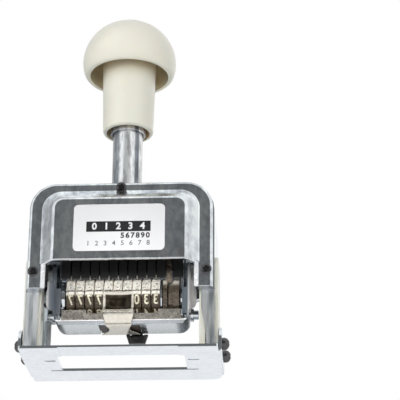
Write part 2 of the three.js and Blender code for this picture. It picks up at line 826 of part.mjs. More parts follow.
// Spring bar across the frame, with the rod that keeps the spring straight
function springBar() {
  const half = frameHalfWidth - frameSheet - seatGap;
  const neck = springBarHalfDepth * springBarNeckShare;
  const eye = Math.asin(neck / (springBarHalfDepth * 2)) / degree;
  const outline = [
    point(-half, shaftY - neck),
    ...arc(0, shaftY, springBarHalfDepth * 2, 180 + eye, 360 - eye, fineSteps),
    point(half, shaftY - neck),
    point(half, shaftY + neck),
    ...arc(0, shaftY, springBarHalfDepth * 2, eye, 180 - eye, fineSteps),
    point(-half, shaftY + neck),
  ];
  const bar = prism('z', outline, springBarLow, springBarTop);
  const post = turned([
    [0, springBarLow], [springRod, springBarLow], [springRod, springRodTop - springRod],
    [springRod / 2, springRodTop], [0, springRodTop],
  ], smallSides).translate(0, shaftY, 0);
  addPiece(machine, 'spring_bar', joined(bar, post), darkChrome());
}

// Points of the spring's centre line
function springPoint(turns) {
  const low = springBarTop + seatGap + springWire;
  const high = shaftBoreTop - seatGap - springWire;
  const angle = turns * 2 * Math.PI;
  const height = low + ((high - low) * turns) / springTurns;
  return new THREE.Vector3(springMean * Math.cos(angle), springMean * Math.sin(angle) + shaftY, height);
}

function springRings() {
  const rings = [];
  const rise = (shaftBoreTop - springBarTop) / springTurns;
  const lean = Math.atan(rise / (2 * Math.PI * springMean));
  for (let step = 0; step <= springTurns * springSteps; step += 1) {
    const centre = springPoint(step / springSteps);
    const angle = (2 * Math.PI * step) / springSteps;
    const outward = new THREE.Vector3(Math.cos(angle), Math.sin(angle), 0);
    const along = new THREE.Vector3(-Math.sin(angle), Math.cos(angle), 0);
    const upward = new THREE.Vector3(0, 0, Math.cos(lean)).addScaledVector(along, -Math.sin(lean));
    rings.push(Array.from({ length: springSides }, (_, k) => {
      const around = (2 * Math.PI * k) / springSides;
      return centre.clone()
        .addScaledVector(outward, springWire * Math.cos(around))
        .addScaledVector(upward, springWire * Math.sin(around));
    }));
  }
  return rings;
}

function returnSpring(parent) {
  const rings = springRings();
  const geometry = new THREE.BufferGeometry();
  const index = [];
  for (let ring = 0; ring < rings.length - 1; ring += 1) {
    for (let k = 0; k < springSides; k += 1) {
      const a = ring * springSides + k;
      const b = ring * springSides + ((k + 1) % springSides);
      index.push(a, b + springSides, b, a, a + springSides, b + springSides);
    }
  }
  const last = (rings.length - 1) * springSides;
  for (let k = 1; k < springSides - 1; k += 1) {
    index.push(0, k, k + 1);
    index.push(last, last + k + 1, last + k);
  }
  const positions = rings.flat().flatMap((p) => [p.x, p.y, p.z]);
  geometry.setAttribute('position', new THREE.Float32BufferAttribute(positions, 3));
  geometry.setIndex(index);
  addPiece(parent, 'return_spring', geometry, springSteel());
  let least = Infinity;
  const centres = rings.map((_, step) => springPoint(step / springSteps));
  for (let i = 0; i < centres.length; i += 1) {
    for (let j = i + springSteps / 2; j < centres.length; j += 1) {
      least = Math.min(least, centres[i].distanceTo(centres[j]) - 2 * springWire);
    }
  }
  console.log(`return_spring: least gap to itself ${least.toFixed(2)} mm`);
}

// Plunger: handle, shaft and carriage
function handle(parent) {
  const dome = Array.from({ length: domeSteps + 1 }, (_, k) => {
    const angle = (k / domeSteps) * quarterTurn;
    return [capRadius * Math.cos(angle), capWidest + (capTop - capWidest) * Math.sin(angle)];
  });
  dome[domeSteps][0] = 0;
  const rimOuter = capRimInner + capRimWall;
  const belly = Array.from({ length: bellySteps }, (_, k) => {
    const angle = (k / bellySteps) * quarterTurn;
    return [
      rimOuter + (capRadius - rimOuter) * Math.sin(angle),
      capWidest - (capWidest - capRimLow) * Math.cos(angle),
    ];
  });
  const roofRadius = capHollow - neckHighRadius;
  const hollow = Array.from({ length: bellySteps }, (_, k) => {
    const angle = (1 - k / bellySteps) * quarterTurn;
    return [
      neckHighRadius + roofRadius * Math.cos(angle),
      capHollowWidest + (capRoof - capHollowWidest) * Math.sin(angle),
    ];
  });
  const socket = shaftRadius + seatGap;
  const profile = [
    [neckBore, neckLow], [neckLowRadius - neckEdge, neckLow], [neckLowRadius, neckLow + neckEdge],
    ...hollow, [capHollow, capHollowWidest], [capRimInner, capRimLow],
    ...belly, ...dome,
    [0, shaftTop + seatGap], [socket, shaftTop + seatGap], [socket, neckBoreTop], [neckBore, neckBoreTop],
    [neckBore, neckLow],
  ];
  const grip = turned(profile, largeSides);
  addPiece(parent, 'handle_grip', solid(grip), ivory()).position.y = shaftY;
}

function shaft(parent) {
  const low = plateTop - crossheadSocket + seatGap;
  const tube = [
    [shaftBore, low], [shaftRadius, low], [shaftRadius, shaftTop], [0, shaftTop],
    [0, shaftBoreTop], [shaftBore, shaftBoreTop], [shaftBore, low],
  ];
  addPiece(parent, 'plunger_shaft', solid(turned(tube, roundSides)), chrome()).position.y = shaftY;
  const bore = shaftRadius + seatGap;
  const ring = [
    [bore, ferruleLow], [ferruleRadius - ferruleRound, ferruleLow],
    [ferruleRadius, ferruleLow + ferruleRound],
    [ferruleRadius, ferruleHigh - ferruleRound], [ferruleRadius - ferruleRound, ferruleHigh],
    [bore, ferruleHigh], [bore, ferruleLow],
  ];
  addPiece(parent, 'shaft_ferrule', turned(ring, roundSides), chrome()).position.y = shaftY;
}

function crosshead(parent) {
  const half = plateInner - seatGap;
  const top = plateTop + crossheadHubRise;
  const beam = block(-half, half, crossheadFront, crossheadBack, crossheadLow, plateTop);
  const hub = rod('z', 0, shaftY, crossheadHubRadius, crossheadLow, top, roundSides);
  const socket = rod(
    'z', 0, shaftY, shaftRadius + seatGap, plateTop - crossheadSocket, top + overrun, roundSides,
  );
  const bore = rod('z', 0, shaftY, shaftBore, crossheadLow - overrun, top + overrun, roundSides);
  addPiece(parent, 'crosshead', cut(joined(beam, hub), socket, bore), darkChrome());
}

function sidePlates(parent) {
  const slotHalf = springBarHalfDepth * springBarNeckShare + slideGap;
  const slotTop = springBarTop + stroke + slideGap;
  const slot = roundedOutline(
    shaftY - slotHalf, shaftY + slotHalf, springBarLow - slideGap, slotTop,
    [0, 0, 0, 0],
  );
  const outline = [
    ...arc(wheelAxisY, wheelAxisZ, plateFootRadius, 180, 360, fineSteps),
    point(plateBack, plateWaistZ),
    point(plateBack, plateTop),
    point(shoeFront, plateTop),
    point(shoeFront, shoeLow),
    point(plateFront, shoeLow - (plateFront - shoeFront)),
    point(plateWaistFront, plateWaistZ),
  ];
  for (const [name, side] of sides) {
    const [x0, x1] = spanX(side, plateInner, plateInner + plateSheet);
    const [s0, s1] = spanX(side, plateInner, guideInner - slideGap);
    const holes = [
      slot,
      circle(wheelAxisY, wheelAxisZ, axleRadius + seatGap, smallSides),
      circle(wheelAxisY, padPivotZ, studShank + seatGap, smallSides),
    ];
    const plate = prism('x', outline, x0, x1, holes);
    const shoe = block(s0, s1, shoeFront, shoeFront + plateSheet, shoeLow, plateTop);
    addPiece(parent, `side_plate_${name}`, joined(plate, shoe), chrome());
    const [n0, n1] = spanX(side, padHalfWidth + seatGap, padHalfWidth + seatGap + studNutWidth);
    const [k0, k1] = spanX(side, plateInner, padHalfWidth + seatGap + studNutWidth);
    const [e0, e1] = spanX(side, padHalfWidth + seatGap, studOuter);
    const stud = joined(
      rod('x', wheelAxisY, padPivotZ, studShank, k0, k1),
      rod('x', wheelAxisY, padPivotZ, studNut, n0, n1, 6),
      rod('x', wheelAxisY, padPivotZ, studEnd, e0, e1),
    );
    addPiece(parent, `pivot_stud_${name}`, stud, chrome());
  }
}

function axle(parent) {
  const half = plateInner + plateSheet;
  addPiece(parent, 'wheel_axle', rod('x', wheelAxisY, wheelAxisZ, axleRadius, -half, half), springSteel());
}

// The gap in comb and bar that the repeat lever hangs in, and its pin through the bar
function leverGap(front, back, low, high) {
  return block(leverCentre - combLeverGap / 2, leverCentre + combLeverGap / 2, front, back, low, high);
}

function pinSpan(extra) {
  return [leverCentre - repeatPinLength / 2 - extra, leverCentre + repeatPinLength / 2 + extra];
}

// Comb of black detent fingers, slit over the middle of each wheel
function detents(parent) {
  const half = plateInner - seatGap;
  const plate = block(-half, half, combFront, combFront + combSheet, combLow, combHigh);
  const slits = wheelCentres.map((x) => block(
    x - combSlit / 2, x + combSlit / 2, combFront - overrun, combFront + combSheet + overrun,
    combLow - overrun, combSlitTop,
  ));
  const slitBack = combFront + combSheet + overrun;
  slits.push(leverGap(combFront - overrun, slitBack, combLow - overrun, combLeverGapTop));
  addPiece(parent, 'detent_comb', cut(solid(plate), ...slits), blackSteel());
  const barFront = combFront + combSheet;
  const pawlBack = barFront + pawlSheet + seatGap;
  const barLow = combHigh - combBarHeight;
  const capLow = combHigh + seatGap;
  const bar = block(-half, half, pawlBack + seatGap, combBarBack, barLow, capLow + combSheet);
  const cap = block(-half, half, combFront, combBarBack, capLow, capLow + combSheet);
  const barCuts = [
    leverGap(combFront, combBarBack + overrun, barLow - overrun, capLow),
    rod('x', repeatPivotY, repeatLeverPivotZ, repeatPinRadius + seatGap, ...pinSpan(seatGap)),
  ];
  addPiece(parent, 'comb_bar', cut(joined(bar, cap), ...barCuts), darkChrome());
  const left = wheelCentres[0] - wheelWidth / 2;
  const right = wheelCentres[wheelCount - 1] + wheelWidth / 2;
  const back = block(left, right, barFront + seatGap, barFront + seatGap + pawlSheet, pawlRoot, combHigh);
  const fingers = wheelCentres.map((x) => block(
    x - pawlWidth / 2, x + pawlWidth / 2, barFront + seatGap, barFront + seatGap + pawlSheet,
    pawlLow, pawlRoot + pawlSheet,
  ));
  addPiece(parent, 'detent_pawls', joined(back, ...fingers), nickel());
}

// Number wheel: ten type faces with a land at each corner, and the ratchet on its left side
function wheelOutline() {
  const half = 180 / wheelFaces;
  const landApothem = wheelApothem / Math.cos(half * degree) - wheelLandHalf * Math.tan(half * degree);
  const reach = Math.hypot(landApothem, wheelLandHalf);
  const spread = Math.atan(wheelLandHalf / landApothem) / degree;
  const outline = [];
  for (let face = 0; face < wheelFaces; face += 1) {
    const corner = 180 + (360 * face) / wheelFaces;
    for (const angle of [corner - spread, corner + spread]) {
      outline.push(point(reach * Math.cos(angle * degree), reach * Math.sin(angle * degree)));
    }
  }
  return outline;
}

function ratchetOutline() {
  const outline = [];
  for (let tooth = 0; tooth < wheelFaces; tooth += 1) {
    const start = (360 * tooth) / wheelFaces;
    const tip = start + (360 / wheelFaces) * ratchetRakeShare;
    const root = tooth === 0 ? ratchetCarryRoot : ratchetRoot;
    outline.push(point(root * Math.cos(start * degree), root * Math.sin(start * degree)));
    outline.push(point(ratchetRadius * Math.cos(tip * degree), ratchetRadius * Math.sin(tip * degree)));
  }
  return outline;
}

function wheels(parent) {
  const bore = circle(0, 0, wheelBore, smallSides);
  const rim = prism('x', wheelOutline(), 0, wheelWidth, [bore]);
  const ratchet = prism('x', ratchetOutline(), -ratchetWidth, wheelWidth / 2, [bore]);
  const wheel = joined(rim, ratchet);
  for (let k = 0; k < wheelCount; k += 1) {
    const name = `number_wheel_${String(k + 1).padStart(2, '0')}`;
    const piece = addPiece(parent, name, wheel, nickel());
    piece.position.set(wheelFirst + wheelPitch * k, wheelAxisY, wheelAxisZ);
  }
}

// Repeat mechanism at the right end of the axle
function polygonOutline(faces, apothem) {
  const reach = apothem / Math.cos(Math.PI / faces);
  return Array.from({ length: faces }, (_, k) => {
    const angle = Math.PI + (2 * Math.PI * k) / faces;
    return point(reach * Math.cos(angle), reach * Math.sin(angle));
  });
}

function notchedOutline() {
  const outline = [];
  const pitch = 360 / repeatNotches;
  for (let k = 0; k < repeatNotches; k += 1) {
    const start = k * pitch;
    const gap = pitch * repeatNotchShare;
    outline.push(...arc(0, 0, repeatWheelRadius, start, start + pitch - gap, 2));
    outline.push(...arc(0, 0, repeatWheelRadius - repeatNotchDepth, start + pitch - gap, start + pitch, 1));
  }
  return outline;
}

function repeatMechanism(parent) {
  const bore = circle(0, 0, wheelBore, smallSides);
  const onAxle = (name, shape, material) => {
    addPiece(parent, name, shape, material).position.set(0, wheelAxisY, wheelAxisZ);
  };
  const disc = circle(0, 0, spacerRadius, roundSides);
  onAxle('spacer_disc', prism('x', disc, spacerLeft, spacerLeft + spacerWidth, [bore]), chrome());
  const dial = prism('x', notchedOutline(), repeatWheelLeft, repeatWheelLeft + repeatWheelWidth, [bore]);
  onAxle('repeat_dial', dial, nickel());
  const camRight = repeatCamLeft + repeatCamWidth;
  const cam = prism('x', polygonOutline(wheelFaces, repeatCamApothem), repeatCamLeft, camRight, [bore]);
  const collar = prism(
    'x', polygonOutline(wheelFaces, repeatCollarApothem), camRight, camRight + repeatCollarWidth, [bore],
  );
  onAxle('repeat_cam', joined(cam, collar), nickel());
  const right = repeatLeverLeft + repeatLeverWidth;
  const front = combFront + combSheet / 2 - repeatLeverThick / 2;
  const tip = repeatLeverWidth / 2;
  const arm = repeatLeverArm / 2;
  const eye = rod('x', repeatPivotY, repeatLeverPivotZ, repeatLeverEye, repeatLeverLeft, right);
  const reach = block(
    repeatLeverLeft, right, front, repeatPivotY, repeatLeverPivotZ - arm, repeatLeverPivotZ + arm,
  );
  const blade = prism(
    'y', roundedOutline(repeatLeverLeft, right, repeatLeverLow, repeatLeverPivotZ + arm, [tip, tip, 0, 0]),
    front, front + repeatLeverThick,
  );
  const eyeHole = rod(
    'x', repeatPivotY, repeatLeverPivotZ, repeatPinRadius + seatGap,
    repeatLeverLeft - overrun, right + overrun,
  );
  addPiece(parent, 'repeat_lever', cut(joined(eye, reach, blade), eyeHole), darkChrome());
  const pin = rod('x', repeatPivotY, repeatLeverPivotZ, repeatPinRadius, ...pinSpan(0));
  addPiece(parent, 'repeat_lever_pin', pin, springSteel());
}

// Driving yoke: it swings round the wheel axle and carries the advancing pawls
function sector(inner, outer, from, to) {
  return [...arc(0, 0, outer, from, to, sectorSteps), ...arc(0, 0, inner, to, from, sectorSteps)];
}

function polar(reach, angle) {
  return point(reach * Math.cos(angle * degree), reach * Math.sin(angle * degree));
}

function yoke(parent) {
  const hubRight = yokeHubLeft + yokeHubWidth;
  const armRight = yokeArmLeft + yokeArmWidth;
  const rodAt = polar(pawlRodReach, pawlRodAngle);
  const barOutline = sector(yokeBarInner, yokeBarOuter, -yokeBarSpread, yokeBarSpread);
  const bar = prism('x', barOutline, yokeHubLeft, armRight);
  const arm = (hub, left, right) => joined(
    prism('x', circle(0, 0, hub, roundSides), left, right),
    prism('x', sector(wheelBore, yokeBarOuter, -yokeArmDrop, yokeBarSpread), left, right),
  );
  const left = arm(yokeHubRadius, yokeHubLeft, hubRight);
  const right = arm(yokeArmHub, yokeArmLeft, armRight);
  const far = [yokeHubLeft - overrun, armRight + overrun];
  const frame = cut(
    left.add(right).add(solid(bar)),
    rod('x', 0, 0, wheelBore, ...far),
    rod('x', rodAt.x, rodAt.y, pawlRodRadius + slideGap, ...far),
  );
  addPiece(parent, 'drive_yoke', frame, chrome()).position.set(0, wheelAxisY, wheelAxisZ);
  const tipAt = polar(drivePawlEndRadius, drivePawlEndAngle);
  const along = tipAt.clone().sub(rodAt).normalize();
  const across = point(-along.y, along.x);
  const corner = (base, half) => base.clone().addScaledVector(across, half);
  const finger = [
    corner(rodAt, drivePawlRootHalf), corner(tipAt, drivePawlEndHalf),
    corner(tipAt, -drivePawlEndHalf), corner(rodAt, -drivePawlRootHalf),
  ];
  const gapCentre = (wheelPitch - wheelWidth) / 2;
  const fingers = wheelCentres.map((x) => {
    const middle = x - wheelWidth / 2 - gapCentre;
    return prism('x', finger, middle - drivePawlThick / 2, middle + drivePawlThick / 2);
  });
  const shaftRod = rod('x', rodAt.x, rodAt.y, pawlRodRadius, yokeHubLeft + seatGap, armRight - seatGap);
  const pawls = addPiece(parent, 'drive_pawls', joined(shaftRod, ...fingers), nickel());
  pawls.position.set(0, wheelAxisY, wheelAxisZ);
}

// Ink pad frame: a bent bracket under the wheels
function padFrame(parent) {
  const top = padPivotZ + padEye;
  const corners = [padCorner, padCorner, 0, 0];
  const inCorner = padCorner - padSheet;
  const outer = roundedOutline(-padHalfWidth, padHalfWidth, padLow, top, corners);
  const inner = roundedOutline(
    -padHalfWidth + padSheet, padHalfWidth - padSheet, padLow + padSheet, top + overrun,
    [inCorner, inCorner, 0, 0],
  );
  const bent = cut(
    solid(prism('y', outer, padFront, padBack)),
    prism('y', inner, padFront - overrun, padBack + overrun),
  );
  const silhouette = [
    point(padFront, padLow),
    point(padBack, padLow),
    point(padBack, padArmBackZ),
    ...arc(wheelAxisY, padPivotZ, padEye, 0, 180, fineSteps),
    point(padFront, padArmFrontZ),
  ];
  const trimmed = bent.intersect(solid(prism('x', silhouette, -padHalfWidth, padHalfWidth)));
  const flangeBack = padFront + padFlangeSheet;
  const extras = [block(-padLipHalf, padLipHalf, padFront, flangeBack, padLow, padLow + padLipHeight)];
  for (const [, side] of sides) {
    const [f0, f1] = spanX(side, padFlangeInner, padHalfWidth);
    extras.push(block(f0, f1, padFront, flangeBack, padLow + padCorner, padFlangeTop));
    const [w0, w1] = spanX(side, padHalfWidth - padSheet, padWingOuter);
    const tip = padWingOuter - padHalfWidth;
    const radii = side < 0 ? [tip, 0, 0, tip / 2] : [0, tip, tip / 2, 0];
    extras.push(prism('y', roundedOutline(w0, w1, padWingLow, padFlangeTop, radii), padFront, flangeBack));
  }
  const whole = extras.map(solid).reduce((sum, extra) => sum.add(extra), trimmed);
  const notch = block(
    clipCentre - padNotchHalf, clipCentre + padNotchHalf, padNotchFront, padBack + overrun,
    padLow - overrun, padLow + padSheet + seatGap / 2,
  );
  const far = padHalfWidth + overrun;
  const holes = [
    rod('x', wheelAxisY, padPivotZ, studShank + slideGap, -far, far),
    rod('x', wheelAxisY, pinZ, pinShank + seatGap, -far, far),
  ];
  addPiece(parent, 'pad_frame', cut(whole, notch, ...holes), darkChrome());
  for (const [name, side] of sides) {
    const start = padHalfWidth + seatGap;
    const [f0, f1] = spanX(side, start, start + pinFlangeWidth);
    const [e0, e1] = spanX(side, start, pinOuter);
    const [s0, s1] = spanX(side, padHalfWidth - padSheet, start + pinFlangeWidth);
    const pin = joined(
      rod('x', wheelAxisY, pinZ, pinFlange, f0, f1, roundSides / 2),
      rod('x', wheelAxisY, pinZ, pinEnd, e0, e1),
      rod('x', wheelAxisY, pinZ, pinShank, s0, s1),
    );
    addPiece(parent, `guide_pin_${name}`, pin, chrome());
  }
}

function padTray(parent) {
  const floorTop = trayLow + traySheet;
  const floor = block(-trayHalf, trayHalf, trayFront, trayBack, trayLow, floorTop);
  const wall = block(-trayHalf, trayHalf, trayFront, trayFront + traySheet, trayLow, trayWallTop);
  const ends = sides.map(([, side]) => {
    const [x0, x1] = spanX(side, trayHalf - traySheet, trayHalf);
    return block(x0, x1, trayFront, trayBack, trayLow, traySideTop);
  });
  const cuts = trayCutShares.map(([left, right]) => block(
    trayHalf * left, trayHalf * right, trayFront - overrun, trayFront + traySheet + overrun,
    trayCutTop, trayWallTop + overrun,
  ));
  addPiece(parent, 'pad_tray', cut(joined(floor, wall, ...ends), ...cuts), nickel());
  const feltTop = wheelAxisZ - wheelSweep - seatGap;
  const felt = block(
    feltLeft, feltRight, trayFront + traySheet + seatGap, trayBack - seatGap, floorTop, feltTop,
  );
  addPiece(parent, 'ink_pad', felt, inkedFelt());
}

// Bent spring clip: cross sections along its path, each a shallow cup
const clipStations = clipPathShares.map(([reach, rise, width, curl]) => [
  clipBack - clipReach * reach, clipLow + clipRise * rise, clipHalfWidth * width, clipCurl * curl,
]);

function clipRing(station, along) {
  const [y, z, half, curl] = station;
  const normal = new THREE.Vector3(0, -along.z, along.y);
  const face = (offset) => Array.from({ length: clipAcross + 1 }, (_, k) => {
    const share = (2 * k) / clipAcross - 1;
    const forward = curl * share ** 4;
    return new THREE.Vector3(clipCentre + half * share, y - forward, z).addScaledVector(normal, offset);
  });
  return [...face(clipSheet / 2), ...face(-clipSheet / 2).reverse()];
}

function padClip(parent) {
  const rings = clipStations.map((station, k) => {
    const before = clipStations[Math.max(k - 1, 0)];
    const after = clipStations[Math.min(k + 1, clipStations.length - 1)];
    const along = new THREE.Vector3(0, after[0] - before[0], after[1] - before[1]).normalize();
    return clipRing(station, along);
  });
  addPiece(parent, 'pad_clip', loft(rings), nickel());
}

function padCatch(parent) {
  const high = catchLow + catchHeight;
  const outline = [
    point(catchLeft + catchTaper, catchLow), point(catchRight - catchTaper, catchLow),
    point(catchRight, high), point(catchLeft, high),
  ];
  const middle = (catchLeft + catchRight) / 2;
  const reach = (catchRight - catchLeft) / 2 - catchArcInset;
  const dish = arc(0, 0, 1, 180, 360, fineSteps / 2)
    .map((p) => point(middle + p.x * reach, high + p.y * catchArcDepth));
  const tongue = block(
    catchLeft + catchTongueInset, catchRight - catchTongueInset,
    padBack + seatGap, catchBack, high - catchSunk, high + catchTongueRise,
  );
  const body = joined(prism('y', outline, catchFront, catchBack), tongue);
  const sunk = prism('y', dish, catchFront - overrun, catchFront + catchSunk);
  addPiece(parent, 'pad_catch', cut(body, sunk), blackPlastic());
}

basePlate();
outerFrame();
covers();
screws();
plasticSides();
shaftBush();
springBar();
const plunger = new THREE.Group();
machine.add(plunger);
returnSpring(plunger);
handle(plunger);
shaft(plunger);
crosshead(plunger);
sidePlates(plunger);
axle(plunger);
detents(plunger);
wheels(plunger);
repeatMechanism(plunger);
yoke(plunger);
const pad = new THREE.Group();
plunger.add(pad);
padFrame(pad);
padTray(pad);
padClip(pad);
padCatch(pad);

export default machine;
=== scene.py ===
# Looks of a hand numbering machine: pressed chromed covers, a moulded handle, brass number
# wheels and a felt ink pad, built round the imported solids. Metres, +Z up, the front faces -Y.
import json
import math

import bpy
from mathutils import Matrix, Vector


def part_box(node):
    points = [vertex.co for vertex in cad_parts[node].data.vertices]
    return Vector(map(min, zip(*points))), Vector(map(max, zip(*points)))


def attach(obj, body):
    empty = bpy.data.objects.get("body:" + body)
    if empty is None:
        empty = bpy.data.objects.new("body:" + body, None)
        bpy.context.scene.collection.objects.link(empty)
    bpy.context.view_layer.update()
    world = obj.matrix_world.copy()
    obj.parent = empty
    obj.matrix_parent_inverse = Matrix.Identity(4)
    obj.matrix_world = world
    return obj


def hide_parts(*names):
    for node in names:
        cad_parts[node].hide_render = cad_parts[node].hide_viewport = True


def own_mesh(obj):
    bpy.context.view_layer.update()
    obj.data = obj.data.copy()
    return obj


bl_info = {
    "name": "Hand numbering machine",
    "version": (1, 0, 0),
    "blender": (4, 5, 0),
    "location": "View3D > Sidebar > Numbering machine",
    "description": "Dresses the solids of a ten wheel numbering machine",
    "category": "Object",
}

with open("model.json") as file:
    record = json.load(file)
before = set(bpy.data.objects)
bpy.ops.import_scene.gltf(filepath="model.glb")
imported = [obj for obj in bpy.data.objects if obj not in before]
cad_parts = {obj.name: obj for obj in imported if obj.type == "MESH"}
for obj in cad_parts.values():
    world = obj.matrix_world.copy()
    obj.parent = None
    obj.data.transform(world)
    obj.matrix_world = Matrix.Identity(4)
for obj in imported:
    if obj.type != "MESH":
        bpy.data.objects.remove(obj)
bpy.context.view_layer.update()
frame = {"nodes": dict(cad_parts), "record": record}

MM = 0.001
# How far the covers' flanges, the base's ears and the covers' legs lie from the middle
COVER_FACE = 24.5 * MM
EAR_FACE = 42.8 * MM
LEG_INSIDE = 33.2 * MM
# Foot of the hood, the plunger's axis, the wheels' axle and the wheels' faces round it
HOOD_FOOT = 37.1 * MM
SHAFT_Y = -1.2 * MM
WHEEL_Y, WHEEL_Z = -4 * MM, 27.7 * MM
WHEEL_FACE = 9.5 * MM

BODY_OF = {
    member: body for body, members in frame["record"]["behaviour"]["bodies"].items()
    for member in members}


class HandleSizes(bpy.types.PropertyGroup):
    """Sizes of the handle"""
    neck_round: bpy.props.FloatProperty(
        name="Neck rounding", description="Rounding of the neck's lower edge",
        default=1.2 * MM, min=0.0, subtype="DISTANCE", unit="LENGTH")
    turns: bpy.props.IntProperty(
        name="Faces round", description="Faces round the turned pieces", default=96, min=24)
    plastic: bpy.props.FloatVectorProperty(
        name="Plastic colour", description="Colour of the ivory mouldings",
        default=(0.80, 0.785, 0.685), size=3, min=0.0, max=1.0, subtype="COLOR")


class CoverSizes(bpy.types.PropertyGroup):
    """Sizes of the pressed covers"""
    sheet: bpy.props.FloatProperty(
        name="Sheet", description="Thickness of the pressed sheet",
        default=1.0 * MM, min=0.0002, subtype="DISTANCE", unit="LENGTH")
    edge: bpy.props.FloatProperty(
        name="Edge rounding", description="Rounding of the pressed edges",
        default=0.45 * MM, min=0.0, subtype="DISTANCE", unit="LENGTH")
    rim: bpy.props.FloatProperty(
        name="Rim", description="Rounding of the outer rim",
        default=1.5 * MM, min=0.0002, subtype="DISTANCE", unit="LENGTH")
    lip: bpy.props.FloatProperty(
        name="Lip", description="Thickness of the rolled lip under the hood",
        default=2.1 * MM, min=0.0002, subtype="DISTANCE", unit="LENGTH")
    chrome: bpy.props.FloatVectorProperty(
        name="Chrome colour", description="Colour of the polished chrome",
        default=(0.80, 0.83, 0.86), size=3, min=0.0, max=1.0, subtype="COLOR")


class WheelSizes(bpy.types.PropertyGroup):
    """Sizes of the number wheels"""
    digit_height: bpy.props.FloatProperty(
        name="Digit height", description="Height of the raised digits",
        default=4.1 * MM, min=0.001, subtype="DISTANCE", unit="LENGTH")
    digit_relief: bpy.props.FloatProperty(
        name="Digit relief", description="How far the digits stand out of the wheel",
        default=0.42 * MM, min=0.0001, subtype="DISTANCE", unit="LENGTH")
    brass: bpy.props.FloatVectorProperty(
        name="Wheel colour", description="Colour of the nickelled brass wheels",
        default=(0.98, 0.94, 0.84), size=3, min=0.0, max=1.0, subtype="COLOR")


class MachineSizes(bpy.types.PropertyGroup):
    """All sizes and colours of the numbering machine"""
    handle: bpy.props.PointerProperty(type=HandleSizes)
    cover: bpy.props.PointerProperty(type=CoverSizes)
    wheel: bpy.props.PointerProperty(type=WheelSizes)


def sizes():
    return bpy.context.scene.numbering_machine


def set_all(thing, **settings):
    for key, value in settings.items():
        setattr(thing, key, value)


# Shader nodes
def rgba(value):
    """A colour with its alpha, from three parts or from one level of grey"""
    parts = value if isinstance(value, tuple) else (value,) * 3
    return (*parts, 1)


def dimmed(colour, share):
    return tuple(min(1, part * share) for part in colour)


def feed(tree, socket, value):
    """Gives a socket another node's output, a number, a vector or a colour"""
    if hasattr(value, "is_output"):
        tree.links.new(value, socket)
    else:
        socket.default_value = rgba(value) if socket.type == "RGBA" else value


def set_inputs(tree, node, **inputs):
    for key, value in inputs.items():
        feed(tree, node.inputs[key.replace("_", " ")], value)


def add_node(tree, kind, *values, **inputs):
    """A shader node, its first inputs given in order and others by name"""
    node = tree.nodes.new("ShaderNode" + kind)
    for socket, value in zip(node.inputs, values):
        feed(tree, socket, value)
    set_inputs(tree, node, **inputs)
    return node


def emptied(owner):
    """Node tree of a material or world without its usual nodes"""
    owner.use_nodes = True
    owner.node_tree.nodes.clear()
    return owner.node_tree


def set_shader(tree, **inputs):
    set_inputs(tree, tree.nodes["Principled BSDF"], **inputs)


def base_colour(tree):
    return tree.nodes["Principled BSDF"].inputs["Base Color"].links[0].from_socket


def ramp(tree, factor, *stops, kind="LINEAR"):
    """Colours or greys that follow a factor, each stop a place and its colour"""
    node = add_node(tree, "ValToRGB", factor)
    node.color_ramp.interpolation = kind
    while len(node.color_ramp.elements) < len(stops):
        node.color_ramp.elements.new(0.5)
    for element, (place, colour) in zip(node.color_ramp.elements, stops):
        element.position = place
        element.color = rgba(colour)
    return node.outputs["Color"]


def noise(tree, scale, detail, stretch=(1, 1, 1)):
    place = add_node(tree, "TexCoord").outputs["Object"]
    mapping = add_node(tree, "Mapping", Vector=place, Scale=stretch)
    node = add_node(tree, "TexNoise", Vector=mapping.outputs["Vector"], Scale=scale, Detail=detail)
    return node.outputs["Fac"]


def bumped(tree, height, strength, distance=0.02 * MM):
    bump = add_node(tree, "Bump", Height=height, Strength=strength, Distance=distance)
    set_shader(tree, Normal=bump.outputs["Normal"])


def mixed(tree, factor, first, second, kind="MIX"):
    """Mix of two colours, each a socket, a colour or a level of grey"""
    node = tree.nodes.new("ShaderNodeMix")
    set_all(node, data_type="RGBA", blend_type=kind)
    for index, value in ((0, factor), (6, first), (7, second)):
        feed(tree, node.inputs[index], value)
    return node.outputs[2]


def product(tree, first, second):
    return mixed(tree, 1, first, second, "MULTIPLY")


def map_range(tree, value, kind="SMOOTHSTEP", **ends):
    node = add_node(tree, "MapRange", Value=value, **ends)
    node.interpolation_type = kind
    return node.outputs[0]


def rising(tree, low, high, axis=2, kind="SMOOTHSTEP"):
    """Share that rises from 0 to 1 between two places in millimetres along an axis of the piece"""
    parts = add_node(tree, "SeparateXYZ", add_node(tree, "TexCoord").outputs["Object"])
    return map_range(tree, parts.outputs[axis], kind, From_Min=low * MM, From_Max=high * MM)


def blend(tree, share, first, second):
    """Mix of two shader nodes"""
    return add_node(tree, "MixShader", share, first.outputs[0], second.outputs[0])


# Materials
def metal(tree, colour, dark_share, rough, bump, cloud_scale=140, fine=700, metallic=1):
    """Plated metal: clouded polish, small blotches, fine scratches and a little tarnish"""
    both = mixed(tree, 0.55, noise(tree, cloud_scale, 6), noise(tree, fine, 3))
    set_shader(
        tree, Metallic=metallic, Roughness=ramp(tree, both, (0.4, rough[0]), (0.62, rough[1])),
        Base_Color=ramp(tree, both, (0.38, dimmed(colour, dark_share)), (0.6, colour)))
    bumped(tree, noise(tree, 900, 4), bump)


